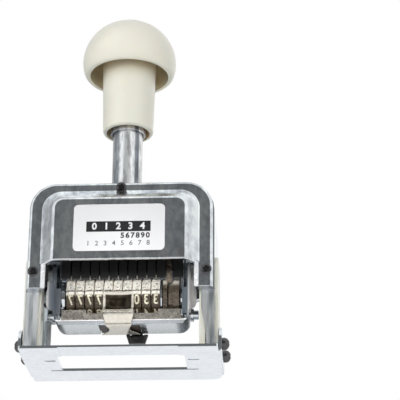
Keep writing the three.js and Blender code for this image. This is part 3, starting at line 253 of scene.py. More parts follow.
def wheel_metal(tree, plain_tone, inked, metallic, low=26.5, high=27.3):
    """Wheel metal: a plain tone above a given height and a speckled lower colour below it, with a thin band
    of the lower colour a little higher; on the wheels, digits and cam the lower part and the band are
    painted shade and dark reflection, on the lever the dark upper part is painted shade
    """
    clouds = noise(tree, 500, 5)
    spots = noise(tree, 1600, 3)
    uneven_tone = ramp(tree, clouds, (0.36, dimmed(plain_tone, 0.7)), (0.5, plain_tone))
    # Below the low height: the lower colour with lighter speckles, painted shade and dark reflection on the
    # wheels, digits and cam
    lower_tone = ramp(tree, spots, (0.4, inked), (0.62, dimmed(inked, 2.4)))
    # A thin band a little above the high height in the lower colour: a painted shade line on the wheels
    painted_shade_line = product(tree, rising(tree, high + 1, high + 1.15), rising(tree, high + 1.6, high + 1.45))
    uneven_tone = mixed(tree, painted_shade_line, uneven_tone, inked)
    set_shader(
        tree, Metallic=metallic, Base_Color=mixed(tree, rising(tree, low, high), lower_tone, uneven_tone),
        Roughness=ramp(tree, clouds, (0.35, 0.22), (0.65, 0.4)))
    bumped(tree, spots, 0.4)


def moulded(tree, colour, rough, coat, speckle, glow=0):
    """Moulded plastic: a faint unevenness of colour and a satin surface"""
    mottle = noise(tree, 60, 3)
    set_shader(
        tree, Base_Color=ramp(tree, mottle, (0.3, dimmed(colour, speckle)), (0.7, colour)),
        Roughness=rough, Coat_Weight=coat, Coat_Roughness=0.12, Subsurface_Weight=glow,
        Subsurface_Radius=(1, 0.72, 0.42), Subsurface_Scale=3.5 * MM)
    bumped(tree, noise(tree, 2200, 2), 0.08)


def pressed_metal(tree, chrome):
    """Chrome of the pressed covers: soft upright blotches and a faint haze"""
    clouds = noise(tree, 110, 2, (1, 1, 0.45))
    both = mixed(tree, 0.5, clouds, noise(tree, 420, 2, (1, 1, 0.6)))
    tone = ramp(tree, both, (0.4, dimmed(chrome, 0.74)), (0.52, chrome), (0.62, (0.97, 1, 1)))
    set_shader(
        tree, Metallic=1, Base_Color=tone, Roughness=ramp(tree, both, (0.35, 0.2), (0.65, 0.12)))
    bumped(tree, clouds, 0.35, 0.05 * MM)


def frame_metal(tree):
    """Chrome of the bent frame, its legs dulled and streaked by handling, and the right leg painted darker
    than the left as shade
    """
    share = rising(tree, 25.6, 26.8)
    uneven_tone = ramp(
        tree, noise(tree, 420, 3, (1, 1, 0.12)),
        (0.4, (0.42, 0.46, 0.48)), (0.5, (0.72, 0.76, 0.78)), (0.6, (0.97, 0.99, 1)))
    # The right side (positive x) is darkened to 0.7: painted shade on the right leg
    painted_right_leg_shade = ramp(tree, rising(tree, -1, 1, 0), (0, 1), (1, 0.7))
    set_shader(
        tree, Base_Color=mixed(tree, share, product(tree, uneven_tone, painted_right_leg_shade), base_colour(tree)),
        Metallic=mixed(tree, share, 0.55, 1))


def cheek_metal(tree):
    """Pad frame: dull chrome plate between cheeks painted dark as dark reflection, with painted highlight
    lines and lighter outer wings painted as reflected light, and a front lip painted grey with a painted
    highlight along its top
    """
    across = rising(tree, -32.2, 32.2, 0, "LINEAR")
    # Across the frame: painted highlight lines at the edges and cheeks painted dark as dark reflection,
    # with the plate's own dull chrome in the middle
    tone = ramp(
        tree, across, (0, 0.95), (0.014, 0.9), (0.024, (0.3, 0.34, 0.38)), (0.06, (0.14, 0.16, 0.19)),
        (0.095, (0.2, 0.22, 0.25)), (0.12, (0.78, 0.8, 0.8)), (0.86, (0.78, 0.8, 0.8)),
        (0.89, (0.16, 0.19, 0.22)), (0.938, (0.2, 0.24, 0.27)), (0.944, 0.98),
        (0.953, (0.42, 0.4, 0.4)), (1, (0.5, 0.48, 0.48)))
    metallic = ramp(
        tree, across, (0, 0.35), (0.1, 0.45), (0.13, 1), (0.85, 1), (0.88, 0.45), (1, 0.3))
    streaks = noise(tree, 900, 4, (1, 1, 0.12))
    colour = product(tree, tone, ramp(tree, streaks, (0.36, 0.86), (0.62, 1)))
    # The front lip: painted blue-grey with a painted highlight line along its top
    lip = product(tree, rising(tree, 15.7, 15.5), rising(tree, -14.1, -14.25, 1))
    lip_painted_light = ramp(
        tree, rising(tree, 13.4, 15.5, 2, "LINEAR"), (0, (0.6, 0.63, 0.65)),
        (0.2, (0.42, 0.45, 0.48)), (0.66, (0.42, 0.43, 0.45)), (0.78, 1))
    set_shader(
        tree, Base_Color=mixed(tree, lip, colour, lip_painted_light), Metallic=mixed(tree, lip, metallic, 0.1),
        Roughness=ramp(tree, streaks, (0.35, 0.14), (0.65, 0.28)))


def shaded_ivory(tree):
    """Ivory of the neck and the cap's hollow, painted darker and warmer towards the roof as the shade under
    the cap
    """
    colour = base_colour(tree)
    painted_roof_shade = product(tree, colour, (0.76, 0.66, 0.49))
    set_shader(tree, Base_Color=mixed(tree, rising(tree, 131, 143), colour, painted_roof_shade))


def shaft_metal(tree):
    """Shaft chrome with dull streaks along it where it slides, and upright bands across it of painted
    highlight and painted dark reflection
    """
    streaks = noise(tree, 700, 4, (1, 1, 0.25))
    # Upright bands across the shaft, light and dark: painted highlights and painted dark reflections
    bands = ramp(
        tree, rising(tree, -6.7, 6.7, 0, "LINEAR"),
        (0.02, (0.38, 0.4, 0.42)), (0.24, (0.34, 0.37, 0.4)), (0.31, (0.9, 0.91, 0.92)),
        (0.4, (0.82, 0.84, 0.85)), (0.53, (0.88, 0.9, 0.91)), (0.58, (0.97, 0.98, 0.98)),
        (0.76, (0.95, 0.96, 0.97)), (0.8, (0.26, 0.28, 0.31)), (0.89, (0.24, 0.26, 0.29)),
        (0.93, (0.97, 0.98, 0.98)), (1, (0.8, 0.79, 0.78)))
    mottle = ramp(tree, streaks, (0.4, 0.6), (0.58, 1))
    set_shader(
        tree, Metallic=0.6, Base_Color=product(tree, bands, mottle),
        Roughness=ramp(tree, streaks, (0.35, 0.08), (0.65, 0.2)))


def clip_metal(tree):
    """Spring clip: warm nickel, with a near black patch across the middle of its scoop"""
    clouds = noise(tree, 420, 5)
    plain_tone = ramp(tree, clouds, (0.35, (0.74, 0.68, 0.58)), (0.6, (0.86, 0.81, 0.71)))
    # A near black patch over the middle of the scoop
    dark_patch = ramp(tree, clouds, (0.38, (0.022, 0.016, 0.011)), (0.62, (0.075, 0.055, 0.036)))
    across = product(tree, rising(tree, -6.7, -6.2, 0), rising(tree, 4.9, 4.4, 0))
    upward = product(tree, rising(tree, 18.5, 19), rising(tree, 26.1, 25.6))
    set_shader(
        tree, Metallic=0.75, Base_Color=mixed(tree, product(tree, across, upward), plain_tone, dark_patch),
        Roughness=ramp(tree, clouds, (0.35, 0.14), (0.65, 0.3)))


def pawl_metal(tree, brass):
    """Leaf of the detent pawls: painted black above the tips as the shade inside the comb's slits, the tips
    left bright brass
    """
    # Black above the tips: painted shade seen through the comb's slits
    tone = mixed(tree, rising(tree, 35.2, 36), brass, 0.01)
    set_shader(tree, Metallic=0.7, Roughness=0.3, Base_Color=tone)


def felt(tree):
    """Felt soaked with dark ink: matted fibres with a dull sheen"""
    patches = noise(tree, 120, 3)
    set_shader(
        tree, Base_Color=ramp(tree, patches, (0.3, (0.014, 0.012, 0.02)), (0.7, (0.05, 0.045, 0.06))),
        Roughness=0.95, Sheen_Weight=0.4, Sheen_Roughness=0.5)
    bumped(tree, noise(tree, 1500, 8, (1, 0.35, 1)), 0.9, 0.15 * MM)


FINISH = {}


def add_finish(key, name, maker, *look, source=None):
    """Makes a material, or copies a finish, and lets a maker wire its nodes"""
    material = FINISH[source].copy() if source else bpy.data.materials.new(name)
    set_all(material, name=name, use_nodes=True)
    maker(material.node_tree, *look)
    FINISH[key] = material


def make_finishes():
    chrome = tuple(sizes().cover.chrome)
    brass = tuple(sizes().wheel.brass)
    ivory = tuple(sizes().handle.plastic)
    looks = [
        ("chrome", "bright_chrome", metal, chrome, 0.9, (0.07, 0.15), 0.12, 90, 420),
        ("pressed_chrome", "pressed_chrome", pressed_metal, chrome),
        ("dark_chrome", "worn_nickel", metal, (0.62, 0.64, 0.66), 0.8, (0.14, 0.3), 0.2, 90, 420),
        ("grey_chrome", "dull_chrome", metal, (0.66, 0.68, 0.69), 0.86, (0.16, 0.3), 0.2, 90, 420),
        ("shaft", "shaft_chrome", shaft_metal),
        ("brass", "nickelled_brass", metal, (0.95, 0.89, 0.76), 0.72, (0.16, 0.34), 0.5, 420, 700, 0.45),
        # Wheel, digit, cam and lever: the wheels, digits and cam are painted darker below a height as shade
        # and dark reflection; the lever is painted dark above it as shade
        ("wheel", "wheel_brass", wheel_metal, brass, (0.045, 0.033, 0.022), 0.15),
        ("digit", "digit_brass", wheel_metal, (0.98, 0.95, 0.86), (0.5, 0.42, 0.32), 0.15),
        ("cam", "cam_brass", wheel_metal, (0.97, 0.92, 0.8), (0.075, 0.06, 0.045), 0.3, 30.5, 33),
        ("lever", "lever_steel", wheel_metal, (0.075, 0.062, 0.052), (0.17, 0.14, 0.11), 0.4, 34.5, 38.5),
        ("lip", "lip_chrome", metal, (1, 1, 1), 0.97, (0.1, 0.16), 0.1),
        ("foot", "foot_chrome", metal, (0.42, 0.44, 0.46), 0.85, (0.14, 0.26), 0.3),
        # Near-white, mostly dull strips for the leg edges and the tray's front edge: painted highlight
        ("edge", "edge_chrome", metal, (0.97, 0.98, 1), 0.9, (0.16, 0.3), 0.2, 140, 700, 0.3),
        ("cheek", "cheek_chrome", cheek_metal),
        # Dark brown painted shade, for the digits' sides and the notch behind the clip
        ("residue", "dried_ink", moulded, (0.06, 0.04, 0.028), 0.5, 0.2, 0.5),
        ("nut", "nut_nickel", metal, (0.97, 0.98, 0.99), 0.92, (0.12, 0.3), 0.3, 400, 700, 0.2),
        ("steel", "spring_steel", metal, (0.6, 0.59, 0.57), 0.75, (0.2, 0.35), 0.4),
        ("clip", "clip_nickel", clip_metal),
        ("tray", "tray_nickel", metal, (0.57, 0.53, 0.47), 0.72, (0.2, 0.42), 0.5, 500, 700, 0.75),
        ("black_steel", "blackened_steel", metal, (0.12, 0.117, 0.12), 0.6, (0.14, 0.32), 0.4),
        # Near black painted shade for the screws' cross recess
        ("recess", "recess_black", moulded, (0.008, 0.008, 0.009), 0.6, 0, 0.7),
        ("comb", "comb_black", moulded, (0.022, 0.022, 0.022), 0.4, 0.2, 0.7),
        ("pawl", "pawl_leaf", pawl_metal, brass),
        ("ivory", "ivory_plastic", moulded, ivory, 0.36, 0.15, 0.97, 0.3),
        # Darker, warmer ivory for the inside of the handle's bore: painted shade
        ("bore", "ivory_bore", moulded, (0.72, 0.6, 0.38), 0.5, 0, 0.97, 0.2),
        ("black_plastic", "black_plastic", moulded, (0.012, 0.012, 0.013), 0.32, 0.2, 0.6),
        ("label", "label_enamel", moulded, (0.77, 0.775, 0.785), 0.4, 0.1, 0.98),
        ("ink_print", "printed_black", moulded, (0.014, 0.014, 0.015), 0.5, 0, 0.8),
        ("grey_print", "printed_grey", moulded, (0.12, 0.12, 0.12), 0.5, 0, 0.9),
        ("felt", "inked_felt", felt)]
    for look in looks:
        add_finish(*look)
    add_finish("frame", "frame_chrome", frame_metal, source="chrome")
    add_finish("ivory_shade", "ivory_shade", shaded_ivory, source="ivory")


# Modelling helpers
def select_only(piece):
    bpy.ops.object.select_all(action="DESELECT")
    bpy.context.view_layer.objects.active = piece
    if piece:
        piece.select_set(True)


def edit(piece, kind=None):
    """Opens a piece's mesh with all of it selected"""
    select_only(piece)
    bpy.ops.object.mode_set(mode="EDIT")
    if kind:
        bpy.ops.mesh.select_mode(type=kind)
    bpy.ops.mesh.select_all(action="SELECT")


def leave_edit():
    bpy.ops.object.mode_set(mode="OBJECT")


def change_mesh(piece, operator, kind=None, **settings):
    """Runs one mesh operator on the whole of a piece"""
    edit(piece, kind)
    operator(**settings)
    leave_edit()


def weld(piece):
    """Merges doubled corners and turns the faces outwards"""
    change_mesh(piece, bpy.ops.mesh.remove_doubles, threshold=0.002 * MM)
    change_mesh(piece, bpy.ops.mesh.normals_make_consistent, inside=False)


def apply_modifier(piece, kind, **settings):
    select_only(piece)
    modifier = piece.modifiers.new(kind.lower(), kind)
    set_all(modifier, **settings)
    bpy.ops.object.modifier_apply(modifier=modifier.name)


def cut_away(piece, tool):
    apply_modifier(piece, "BOOLEAN", object=tool, operation="DIFFERENCE", solver="EXACT")
    bpy.data.objects.remove(tool)


def smooth(piece, angle=35):
    select_only(piece)
    bpy.ops.object.shade_smooth_by_angle(angle=math.radians(angle))


def even_shading(piece, angle, weight=50):
    """Smooth shading that keeps large faces flat"""
    smooth(piece, angle)
    apply_modifier(piece, "WEIGHTED_NORMAL", keep_sharp=True, weight=weight)


def round_edges(piece, width, segments=2, angle=32):
    apply_modifier(
        piece, "BEVEL", width=width, segments=segments, limit_method="ANGLE",
        angle_limit=math.radians(angle), use_clamp_overlap=True, miter_outer="MITER_ARC")


def settle(piece):
    """Puts the piece's place into its mesh"""
    select_only(piece)
    bpy.ops.object.transform_apply(location=True, rotation=True, scale=True)


def set_finish(piece, finish):
    piece.data.materials.clear()
    piece.data.materials.append(FINISH[finish])


def paint(piece, finish, chosen):
    """Gives the chosen faces of a piece a finish of their own"""
    piece.data.materials.append(FINISH[finish])
    slot = len(piece.data.materials) - 1
    for face in piece.data.polygons:
        if chosen(face):
            face.material_index = slot


def stand_for(piece, node):
    """Lets a piece move with a solid and be shown in its place"""
    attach(piece, BODY_OF[node])
    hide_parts(node)


def place(piece, finish, node):
    set_finish(piece, finish)
    stand_for(piece, node)
    return piece


def made(name, operator, scale=(1, 1, 1), **settings):
    """The object that an operator makes, with its place put into its mesh"""
    select_only(None)
    operator(**settings)
    piece = bpy.context.object
    set_all(piece, name=name, scale=scale)
    settle(piece)
    return piece


def block(name, low, high, side=1):
    """A box between two corners in millimetres, on the right or on the left"""
    low, high = Vector(low) * MM, Vector(high) * MM
    x, y, z = (low + high) / 2
    return made(
        name, bpy.ops.mesh.primitive_cube_add, high - low, size=1, location=(side * x, y, z))


def copy_node(node, ending):
    """A merged copy of a solid, ready to be worked on"""
    mesh = frame["nodes"][node].data.copy()
    mesh.name = node + ending
    piece = bpy.data.objects.new(node + ending, mesh)
    bpy.context.scene.collection.objects.link(piece)
    edit(piece)
    bpy.ops.mesh.remove_doubles(threshold=0.002 * MM)
    bpy.ops.mesh.dissolve_limited(angle_limit=math.radians(0.6))
    leave_edit()
    return piece


def reworked(node, ending, width, segments=3, smooth_angle=35, angle=32, tools=()):
    """A copy of a solid, cut by tools, its edges rounded by a width in millimetres"""
    piece = copy_node(node, ending)
    for tool in tools:
        cut_away(piece, tool)
    round_edges(piece, width * MM, segments, angle)
    even_shading(piece, smooth_angle)
    return piece


def dressed(node, finish, width, segments=2, smooth_angle=35, angle=32):
    """A copy of a solid with rounded edges and its finish, in the solid's place"""
    return place(reworked(node, "_finished", width, segments, smooth_angle, angle), finish, node)


def dress_all(*looks):
    for look in looks:
        dressed(*look)


def wire_of(name, points, closed=False):
    """A wire drawn by extruding one corner from point to point"""
    piece = made(name, bpy.ops.mesh.primitive_plane_add, size=MM, location=points[0])
    edit(piece, "VERT")
    bpy.ops.mesh.merge(type="CENTER")
    for before, after in zip(points, points[1:]):
        step = Vector(after) - Vector(before)
        bpy.ops.mesh.extrude_vertices_move(TRANSFORM_OT_translate={"value": step})
    bpy.ops.mesh.select_all(action="SELECT")
    if closed:
        bpy.ops.mesh.edge_face_add()
    leave_edit()
    return piece


def spun(name, profile, steps, y=0):
    """A piece turned round an upright axis from radii and heights in millimetres"""
    piece = wire_of(name, [(radius * MM, y, height * MM) for radius, height in profile])
    change_mesh(
        piece, bpy.ops.mesh.spin, steps=steps, angle=2 * math.pi, center=(0, y, 0), axis=(0, 0, 1))
    weld(piece)
    return piece


def round_corner(before, corner, after, radius, steps):
    """Points of an arc that rounds one corner of a flat path"""
    corner, before, after = Vector(corner), Vector(before), Vector(after)
    back, on = (before - corner).normalized(), (after - corner).normalized()
    half = back.angle(on) / 2
    reach = radius / math.tan(half)
    centre = corner + (back + on).normalized() * (radius / math.sin(half))
    start, end = corner + back * reach - centre, corner + on * reach - centre
    turn = start.angle(end)
    return [
        centre + (start * math.sin((1 - t) * turn) + end * math.sin(t * turn)) / math.sin(turn)
        for t in (k / steps for k in range(steps + 1))]


def rounded_path(path, steps=6):
    """Path of (u, v, radius) corners as a list of points"""
    made = []
    for k, (u, v, radius) in enumerate(path):
        if radius <= 0:
            made.append(Vector((u, v)))
            continue
        before, after = path[k - 1][:2], path[(k + 1) % len(path)][:2]
        made.extend(round_corner(before, (u, v), after, radius, steps))
    return made


def bow(x, z, wide, high, start, end, steps):
    """Points of an elliptic arc between two angles in degrees"""
    angles = [math.radians(start + (end - start) * k / steps) for k in range(steps + 1)]
    return [(x + wide * math.cos(a), z + high * math.sin(a)) for a in angles]


def upright(points, y):
    """Flat points stood up at a depth"""
    return [Vector((x, y, z)) for x, z in points]


def shifted_copy(piece, name, matrix):
    """A copy with its own mesh, moved by a matrix"""
    twin = piece.copy()
    twin.data = piece.data.copy()
    twin.name = twin.data.name = name
    bpy.context.scene.collection.objects.link(twin)
    twin.data.transform(matrix)
    return twin


def join(piece, others):
    """Joins other pieces into the first one"""
    select_only(piece)
    for other in others:
        other.select_set(True)
    bpy.ops.object.join()


def flat_text(name, words, size, thickness, spacing, weight):
    """Raised characters standing in the XZ plane, facing the front"""
    select_only(None)
    bpy.ops.object.text_add(location=(0, 0, 0), rotation=(math.pi / 2, 0, 0))
    set_all(
        bpy.context.object.data, body=words, size=size, align_x="CENTER", align_y="CENTER",
        extrude=thickness, space_character=spacing, offset=weight, resolution_u=3)
    bpy.ops.object.convert(target="MESH")
    piece = bpy.context.object
    piece.name = name
    settle(piece)
    change_mesh(piece, bpy.ops.mesh.remove_doubles, threshold=0.001 * MM)
    return piece


# Operators, one to a group of pieces
class BuildStage(bpy.types.Operator):
    """Make the floor, the soft light and the camera"""
    bl_idname = "numbering.stage"
    bl_label = "Stage"

    def execute(self, context):
        make_finishes()
        self.floor()
        self.world()
        self.lamps()
        self.camera()
        return {"FINISHED"}

    def floor(self):
        """White floor, clear from below; in glossy faces it is dark in front and grey behind"""
        select_only(None)
        bpy.ops.mesh.primitive_circle_add(
            vertices=96, radius=1.6, fill_type="NGON", location=(0, 0, -0.6 * MM))
        floor = bpy.context.object
        floor.name = "studio_floor"
        material = bpy.data.materials.new("pale_floor")
        tree = emptied(material)
        near = mixed(tree, rising(tree, 45, 30, 1), (0.42, 0.44, 0.46), (0.97, 0.98, 1))
        glow = mixed(tree, rising(tree, -170, -130, 1), (0.1, 0.08, 0.065), near)
        glossy = add_node(tree, "LightPath").outputs["Is Glossy Ray"]
        above = blend(tree, glossy, add_node(tree, "BsdfDiffuse", 0.93), add_node(tree, "Emission", glow))
        underside = add_node(tree, "NewGeometry").outputs["Backfacing"]
        surface = blend(tree, underside, above, add_node(tree, "BsdfTransparent"))
        add_node(tree, "OutputMaterial", surface.outputs[0])
        floor.data.materials.append(material)

    def world(self):
        """White surround that shows a dark oval in front and dim bands beside it in glossy faces"""
        world = bpy.data.worlds.new("soft_studio")
        bpy.context.scene.world = world
        tree = emptied(world)

        def maths(operation, *values, clamp=False):
            node = add_node(tree, "Math", *values)
            set_all(node, operation=operation, use_clamp=clamp)
            return node.outputs[0]

        place = add_node(tree, "TexCoord").outputs["Generated"]
        x, y, z = add_node(tree, "SeparateXYZ", place).outputs
        across = maths("POWER", maths("DIVIDE", x, 0.42), 2)
        upward = maths("POWER", maths("DIVIDE", maths("SUBTRACT", z, 0.14), 0.52), 2)
        behind = maths("MULTIPLY", maths("MAXIMUM", y, 0), 4)
        ring = maths("ADD", maths("SQRT", maths("ADD", across, upward)), behind)
        edge = maths("DIVIDE", maths("SUBTRACT", ring, 0.85), 0.4, clamp=True)
        oval = map_range(tree, edge, To_Min=0.17, To_Max=1)
        heading = maths("ARCTAN2", x, maths("MULTIPLY", y, -1))
        bands = ramp(tree, maths("ADD", maths("DIVIDE", heading, 2 * math.pi), 0.5), *(
            (0.5 + angle / 360, level) for angle, level in [
                (-180, 1), (-125, 0.7), (-108, 0.6), (-97, 0.42), (-90, 0.5), (-80, 0.96), (-25, 1),
                (25, 1), (78, 1), (86, 0.78), (95, 0.78), (103, 1), (125, 1), (180, 1)]),
            kind="EASE")
        reflected = add_node(tree, "Background", (0.97, 0.99, 1), maths("MULTIPLY", oval, bands))
        plain = add_node(tree, "Background", Strength=0.52)
        path = add_node(tree, "LightPath")
        lit = blend(tree, path.outputs["Is Glossy Ray"], plain, reflected)
        seen = blend(tree, path.outputs["Is Camera Ray"], lit, add_node(tree, "Background", 1))
        add_node(tree, "OutputWorld", seen.outputs[0])

    def lamps(self):
        middle = (0, 0, 0.09)
        for name, kind, spot, target, settings in [
                ("key_lamp", "AREA", (-0.35, -0.55, 0.35), middle, {"energy": 1.3, "size": 0.5}),
                ("front_lamp", "AREA", (0.06, -0.78, 0.09), middle, {"energy": 2.4, "size": 0.3}),
                ("back_lamp", "AREA", (0.4, 0.55, 0.5), middle, {"energy": 3, "size": 0.5}),
                ("wheel_lamp", "SPOT", (0.03, -0.55, 0.04), (0, -0.013, 0.024), {
                    "energy": 6, "spot_size": math.radians(6), "spot_blend": 0.6,
                    "shadow_soft_size": 0.02})]:
            lamp = bpy.data.lights.new(name, kind)
            set_all(lamp, specular_factor=0.4 if kind == "AREA" else 1, **settings)
            holder = bpy.data.objects.new(name, lamp)
            turn = (Vector(target) - Vector(spot)).to_track_quat("-Z", "Y").to_euler()
            set_all(
                holder, location=spot, rotation_euler=turn, visible_camera=False, visible_glossy=False)
            bpy.context.scene.collection.objects.link(holder)

    def camera(self):
        """The camera that was solved on the photograph"""
        lens = bpy.data.cameras.new("photo_camera")
        set_all(lens, lens=140.194, sensor_width=36, clip_start=0.01)
        camera = bpy.data.objects.new("photo_camera", lens)
        bpy.context.scene.collection.objects.link(camera)
        right = Vector((0.99872858, 0.05031594, 0.00308695))
        up = Vector((0.01674900, -0.38896413, 0.92110064))
        back = Vector((0.04754676, -0.91987783, -0.38931233))
        turn = Matrix((right, up, back)).transposed().to_4x4()
        camera.matrix_world = Matrix.Translation(Vector((65.613, -637.503, -194.180)) * MM) @ turn
        bpy.context.scene.camera = camera


class BuildCovers(bpy.types.Operator):
    """Build the pressed front and back covers with their raised hood"""
    bl_idname = "numbering.covers"
    bl_label = "Covers"

    def execute(self, context):
        front = self.pressing(*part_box("front_cover"))
        back = shifted_copy(front, "back_cover_pressing", Matrix.Rotation(math.pi, 4, "Z"))
        stand_for(front, "front_cover")
        stand_for(back, "back_cover")
        return {"FINISHED"}

    def pressing(self, low, high):
        """The front cover: flange, hood and rim as one sheet, thickened and rounded"""
        face, leg, foot = -COVER_FACE, LEG_INSIDE, low.z
        rims = self.rim_rings(high.x, foot, high.z)
        rings = self.hood_rings()
        path = rims[0] + upright([(leg, foot), (leg, HOOD_FOOT)], face)
        path += rings[0][::-1] + upright([(-leg, HOOD_FOOT), (-leg, foot)], face)
        piece = wire_of("front_cover_pressing", path, True)
        parts = [
            self.strip(*pair) for outlines in (rings, rims) for pair in zip(outlines, outlines[1:])]
        parts.append(wire_of("raised_panel", rings[-1], True))
        for end in (0, -1):
            inside = math.copysign(leg, rims[0][end].x)
            bottom = [(inside, face, foot), *(ring[end] for ring in rims)]
            parts.append(wire_of("leg_foot", bottom + [(inside, rims[-1][end].y, foot)], True))
        join(piece, parts)
        weld(piece)
        self.face_front(piece)
        apply_modifier(piece, "SOLIDIFY", thickness=sizes().cover.sheet, offset=-1)
        round_edges(piece, sizes().cover.edge, 3, 38)
        self.spot_face(piece)
        self.label_seat(piece)
        even_shading(piece, 40, 80)
        set_finish(piece, "pressed_chrome")
        paint(piece, "foot", lambda face: face.normal.z < -0.9 and face.center.z < foot + 0.5 * MM)
        join(piece, [self.lip(rings)] + [self.leg_edge(side, foot) for side in (-1, 1)])
        return piece

    def arch(self, half, foot, top, corner):
        """Outline up the left leg, over the top and down the right leg"""
        path = [(-half, foot, 0), (-half, top, corner), (half, top, corner), (half, foot, 0)]
        return rounded_path(path, 14)

    def rim_rings(self, half, foot, top):
        """Outlines of the rounded rim, from the flange's face to the back of its wall"""
        radius = sizes().cover.rim
        rings = [
            upright(self.arch(half - inset, foot, top - inset, 11.5 * MM - inset), deep - COVER_FACE)
            for inset, deep in bow(radius, radius, radius, radius, -90, -180, 5)]
        rings.append([Vector((p.x, 4.5 * MM - COVER_FACE, p.z)) for p in rings[-1]])
        return rings

    def hood_rings(self):
        """Outlines of the hood from the flange to the raised panel"""
        rings = []
        for deep, wide in [
                (0, 0), (0.015, 0.035), (0.05, 0.08), (0.1, 0.12), (0.3, 0.286), (0.55, 0.494), (0.8, 0.7),
                (0.88, 0.77), (0.94, 0.84), (0.968, 0.89), (0.985, 0.93), (0.996, 0.965), (1, 1)]:
            half, top, corner = [
                (low + (high - low) * wide) * MM
                for low, high in ((33.9, 27.4), (70.3, 64.1), (8.5, 3.6))]
            rings.append(upright(self.arch(half, HOOD_FOOT, top, corner), -COVER_FACE - 5.5 * MM * deep))
        return rings

    def strip(self, first, second):
        """Sheet between two outlines"""
        piece = wire_of("hood_strip", first)
        join(piece, [wire_of("hood_strip_far", second)])
        change_mesh(piece, bpy.ops.mesh.bridge_edge_loops, "EDGE")
        return piece

    def face_front(self, piece):
        """Turns the sheet's normals to the front if they point inwards"""
        biggest = max(piece.data.polygons, key=lambda face: face.area)
        if biggest.normal.y > 0:
            change_mesh(piece, bpy.ops.mesh.flip_normals)

    def lip(self, rings):
        """Rolled lip along the foot of the hood"""
        radius = sizes().cover.lip / 2
        path = [ring[0] for ring in rings] + [ring[-1] for ring in reversed(rings)]
        points = []
        for k, spot in enumerate(path):
            along = path[min(k + 1, len(path) - 1)] - path[max(k - 1, 0)]
            inward = Vector((-along.y, along.x, 0)).normalized()
            points.append(Vector((spot.x, spot.y, HOOD_FOOT + radius - 0.25 * MM)) + inward * radius)
        select_only(wire_of("rolled_lip", points))
        bpy.ops.object.convert(target="CURVE")
        set_all(bpy.context.object.data, bevel_depth=radius, bevel_resolution=5, use_fill_caps=True)
        bpy.ops.object.convert(target="MESH")
        piece = bpy.context.object
        smooth(piece, 60)
        set_finish(piece, "lip")
        return piece

    def leg_edge(self, side, foot):
        """Turned-in edge of a leg, painted near white as a highlight"""
        piece = block(
            "leg_edge", (31.4, -24.55, foot / MM), (33.4, -23.05, HOOD_FOOT / MM + 0.6), side)
        round_edges(piece, 0.7 * MM, 4)
        smooth(piece, 60)
        set_finish(piece, "edge")
        return piece

    def spot_face(self, piece):
        """Round flat in the hood for the upper screw"""
        low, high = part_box("front_screw_top")
        cut_away(piece, made(
            "spot_tool", bpy.ops.mesh.primitive_cylinder_add, vertices=48, radius=2.6 * MM,
            depth=8 * MM, location=(0, -28.5 * MM, (low.z + high.z) / 2),
            rotation=(math.pi / 2, 0, 0)))

    def label_seat(self, piece):
        """Shallow seat with a little room round the label plate"""
        low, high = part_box("label_plate")
        room, corner, front = 0.1 * MM, 2.1 * MM, low.y - MM
        left, right, bottom, top = low.x - room, high.x + room, low.z - room, high.z + room
        path = [(left, bottom, corner), (left, top, corner), (right, top, corner), (right, bottom, corner)]
        tool = wire_of("label_seat_tool", upright(rounded_path(path, 8), front), True)
        step = {"value": (0, high.y + 0.07 * MM - front, 0)}
        change_mesh(tool, bpy.ops.mesh.extrude_region_move, TRANSFORM_OT_translate=step)
        weld(tool)
        cut_away(piece, tool)


class BuildLabel(bpy.types.Operator):
    """Build the label plate with its black bar and plain digits"""
    bl_idname = "numbering.label"
    bl_label = "Label"

    def execute(self, context):
        plate = dressed("label_plate", "label", 0.05)
        plate.name = "label_plate_enamelled"
        back = 0.05 * MM
        plate.data.transform(Matrix.Translation((0, back, 0)))
        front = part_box("label_plate")[0].y + back
        self.bar(front / MM)
        for name, words, size, x, z, finish, spacing, weight in [
                ("label_bar_digits", "01234", 4.2, -0.25, 51.55, "label", 2.43, 0.14),
                ("label_bold_digits", "567890", 3.3, 6.9, 47.3, "ink_print", 1.3, 0.12),
                ("label_row_digits", "12345678", 3, -0.25, 43.9, "grey_print", 2.42, 0.03)]:
            piece = flat_text(name, words, size * MM, 0.015 * MM, spacing, weight * MM)
            y = front - (0.03 * MM if finish == "label" else 0)
            piece.data.transform(Matrix.Translation((x * MM, y, z * MM)))
            set_finish(piece, finish)
            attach(piece, BODY_OF["label_plate"])
        return {"FINISHED"}

    def bar(self, y):
        """Black bar, half sunk in the plate's front"""
        bar = block("label_bar", (-13.9, y - 0.015, 49.2), (13.4, y + 0.015, 53.9))
        round_edges(bar, 0.01 * MM)
        set_finish(bar, "ink_print")
        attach(bar, BODY_OF["label_plate"])


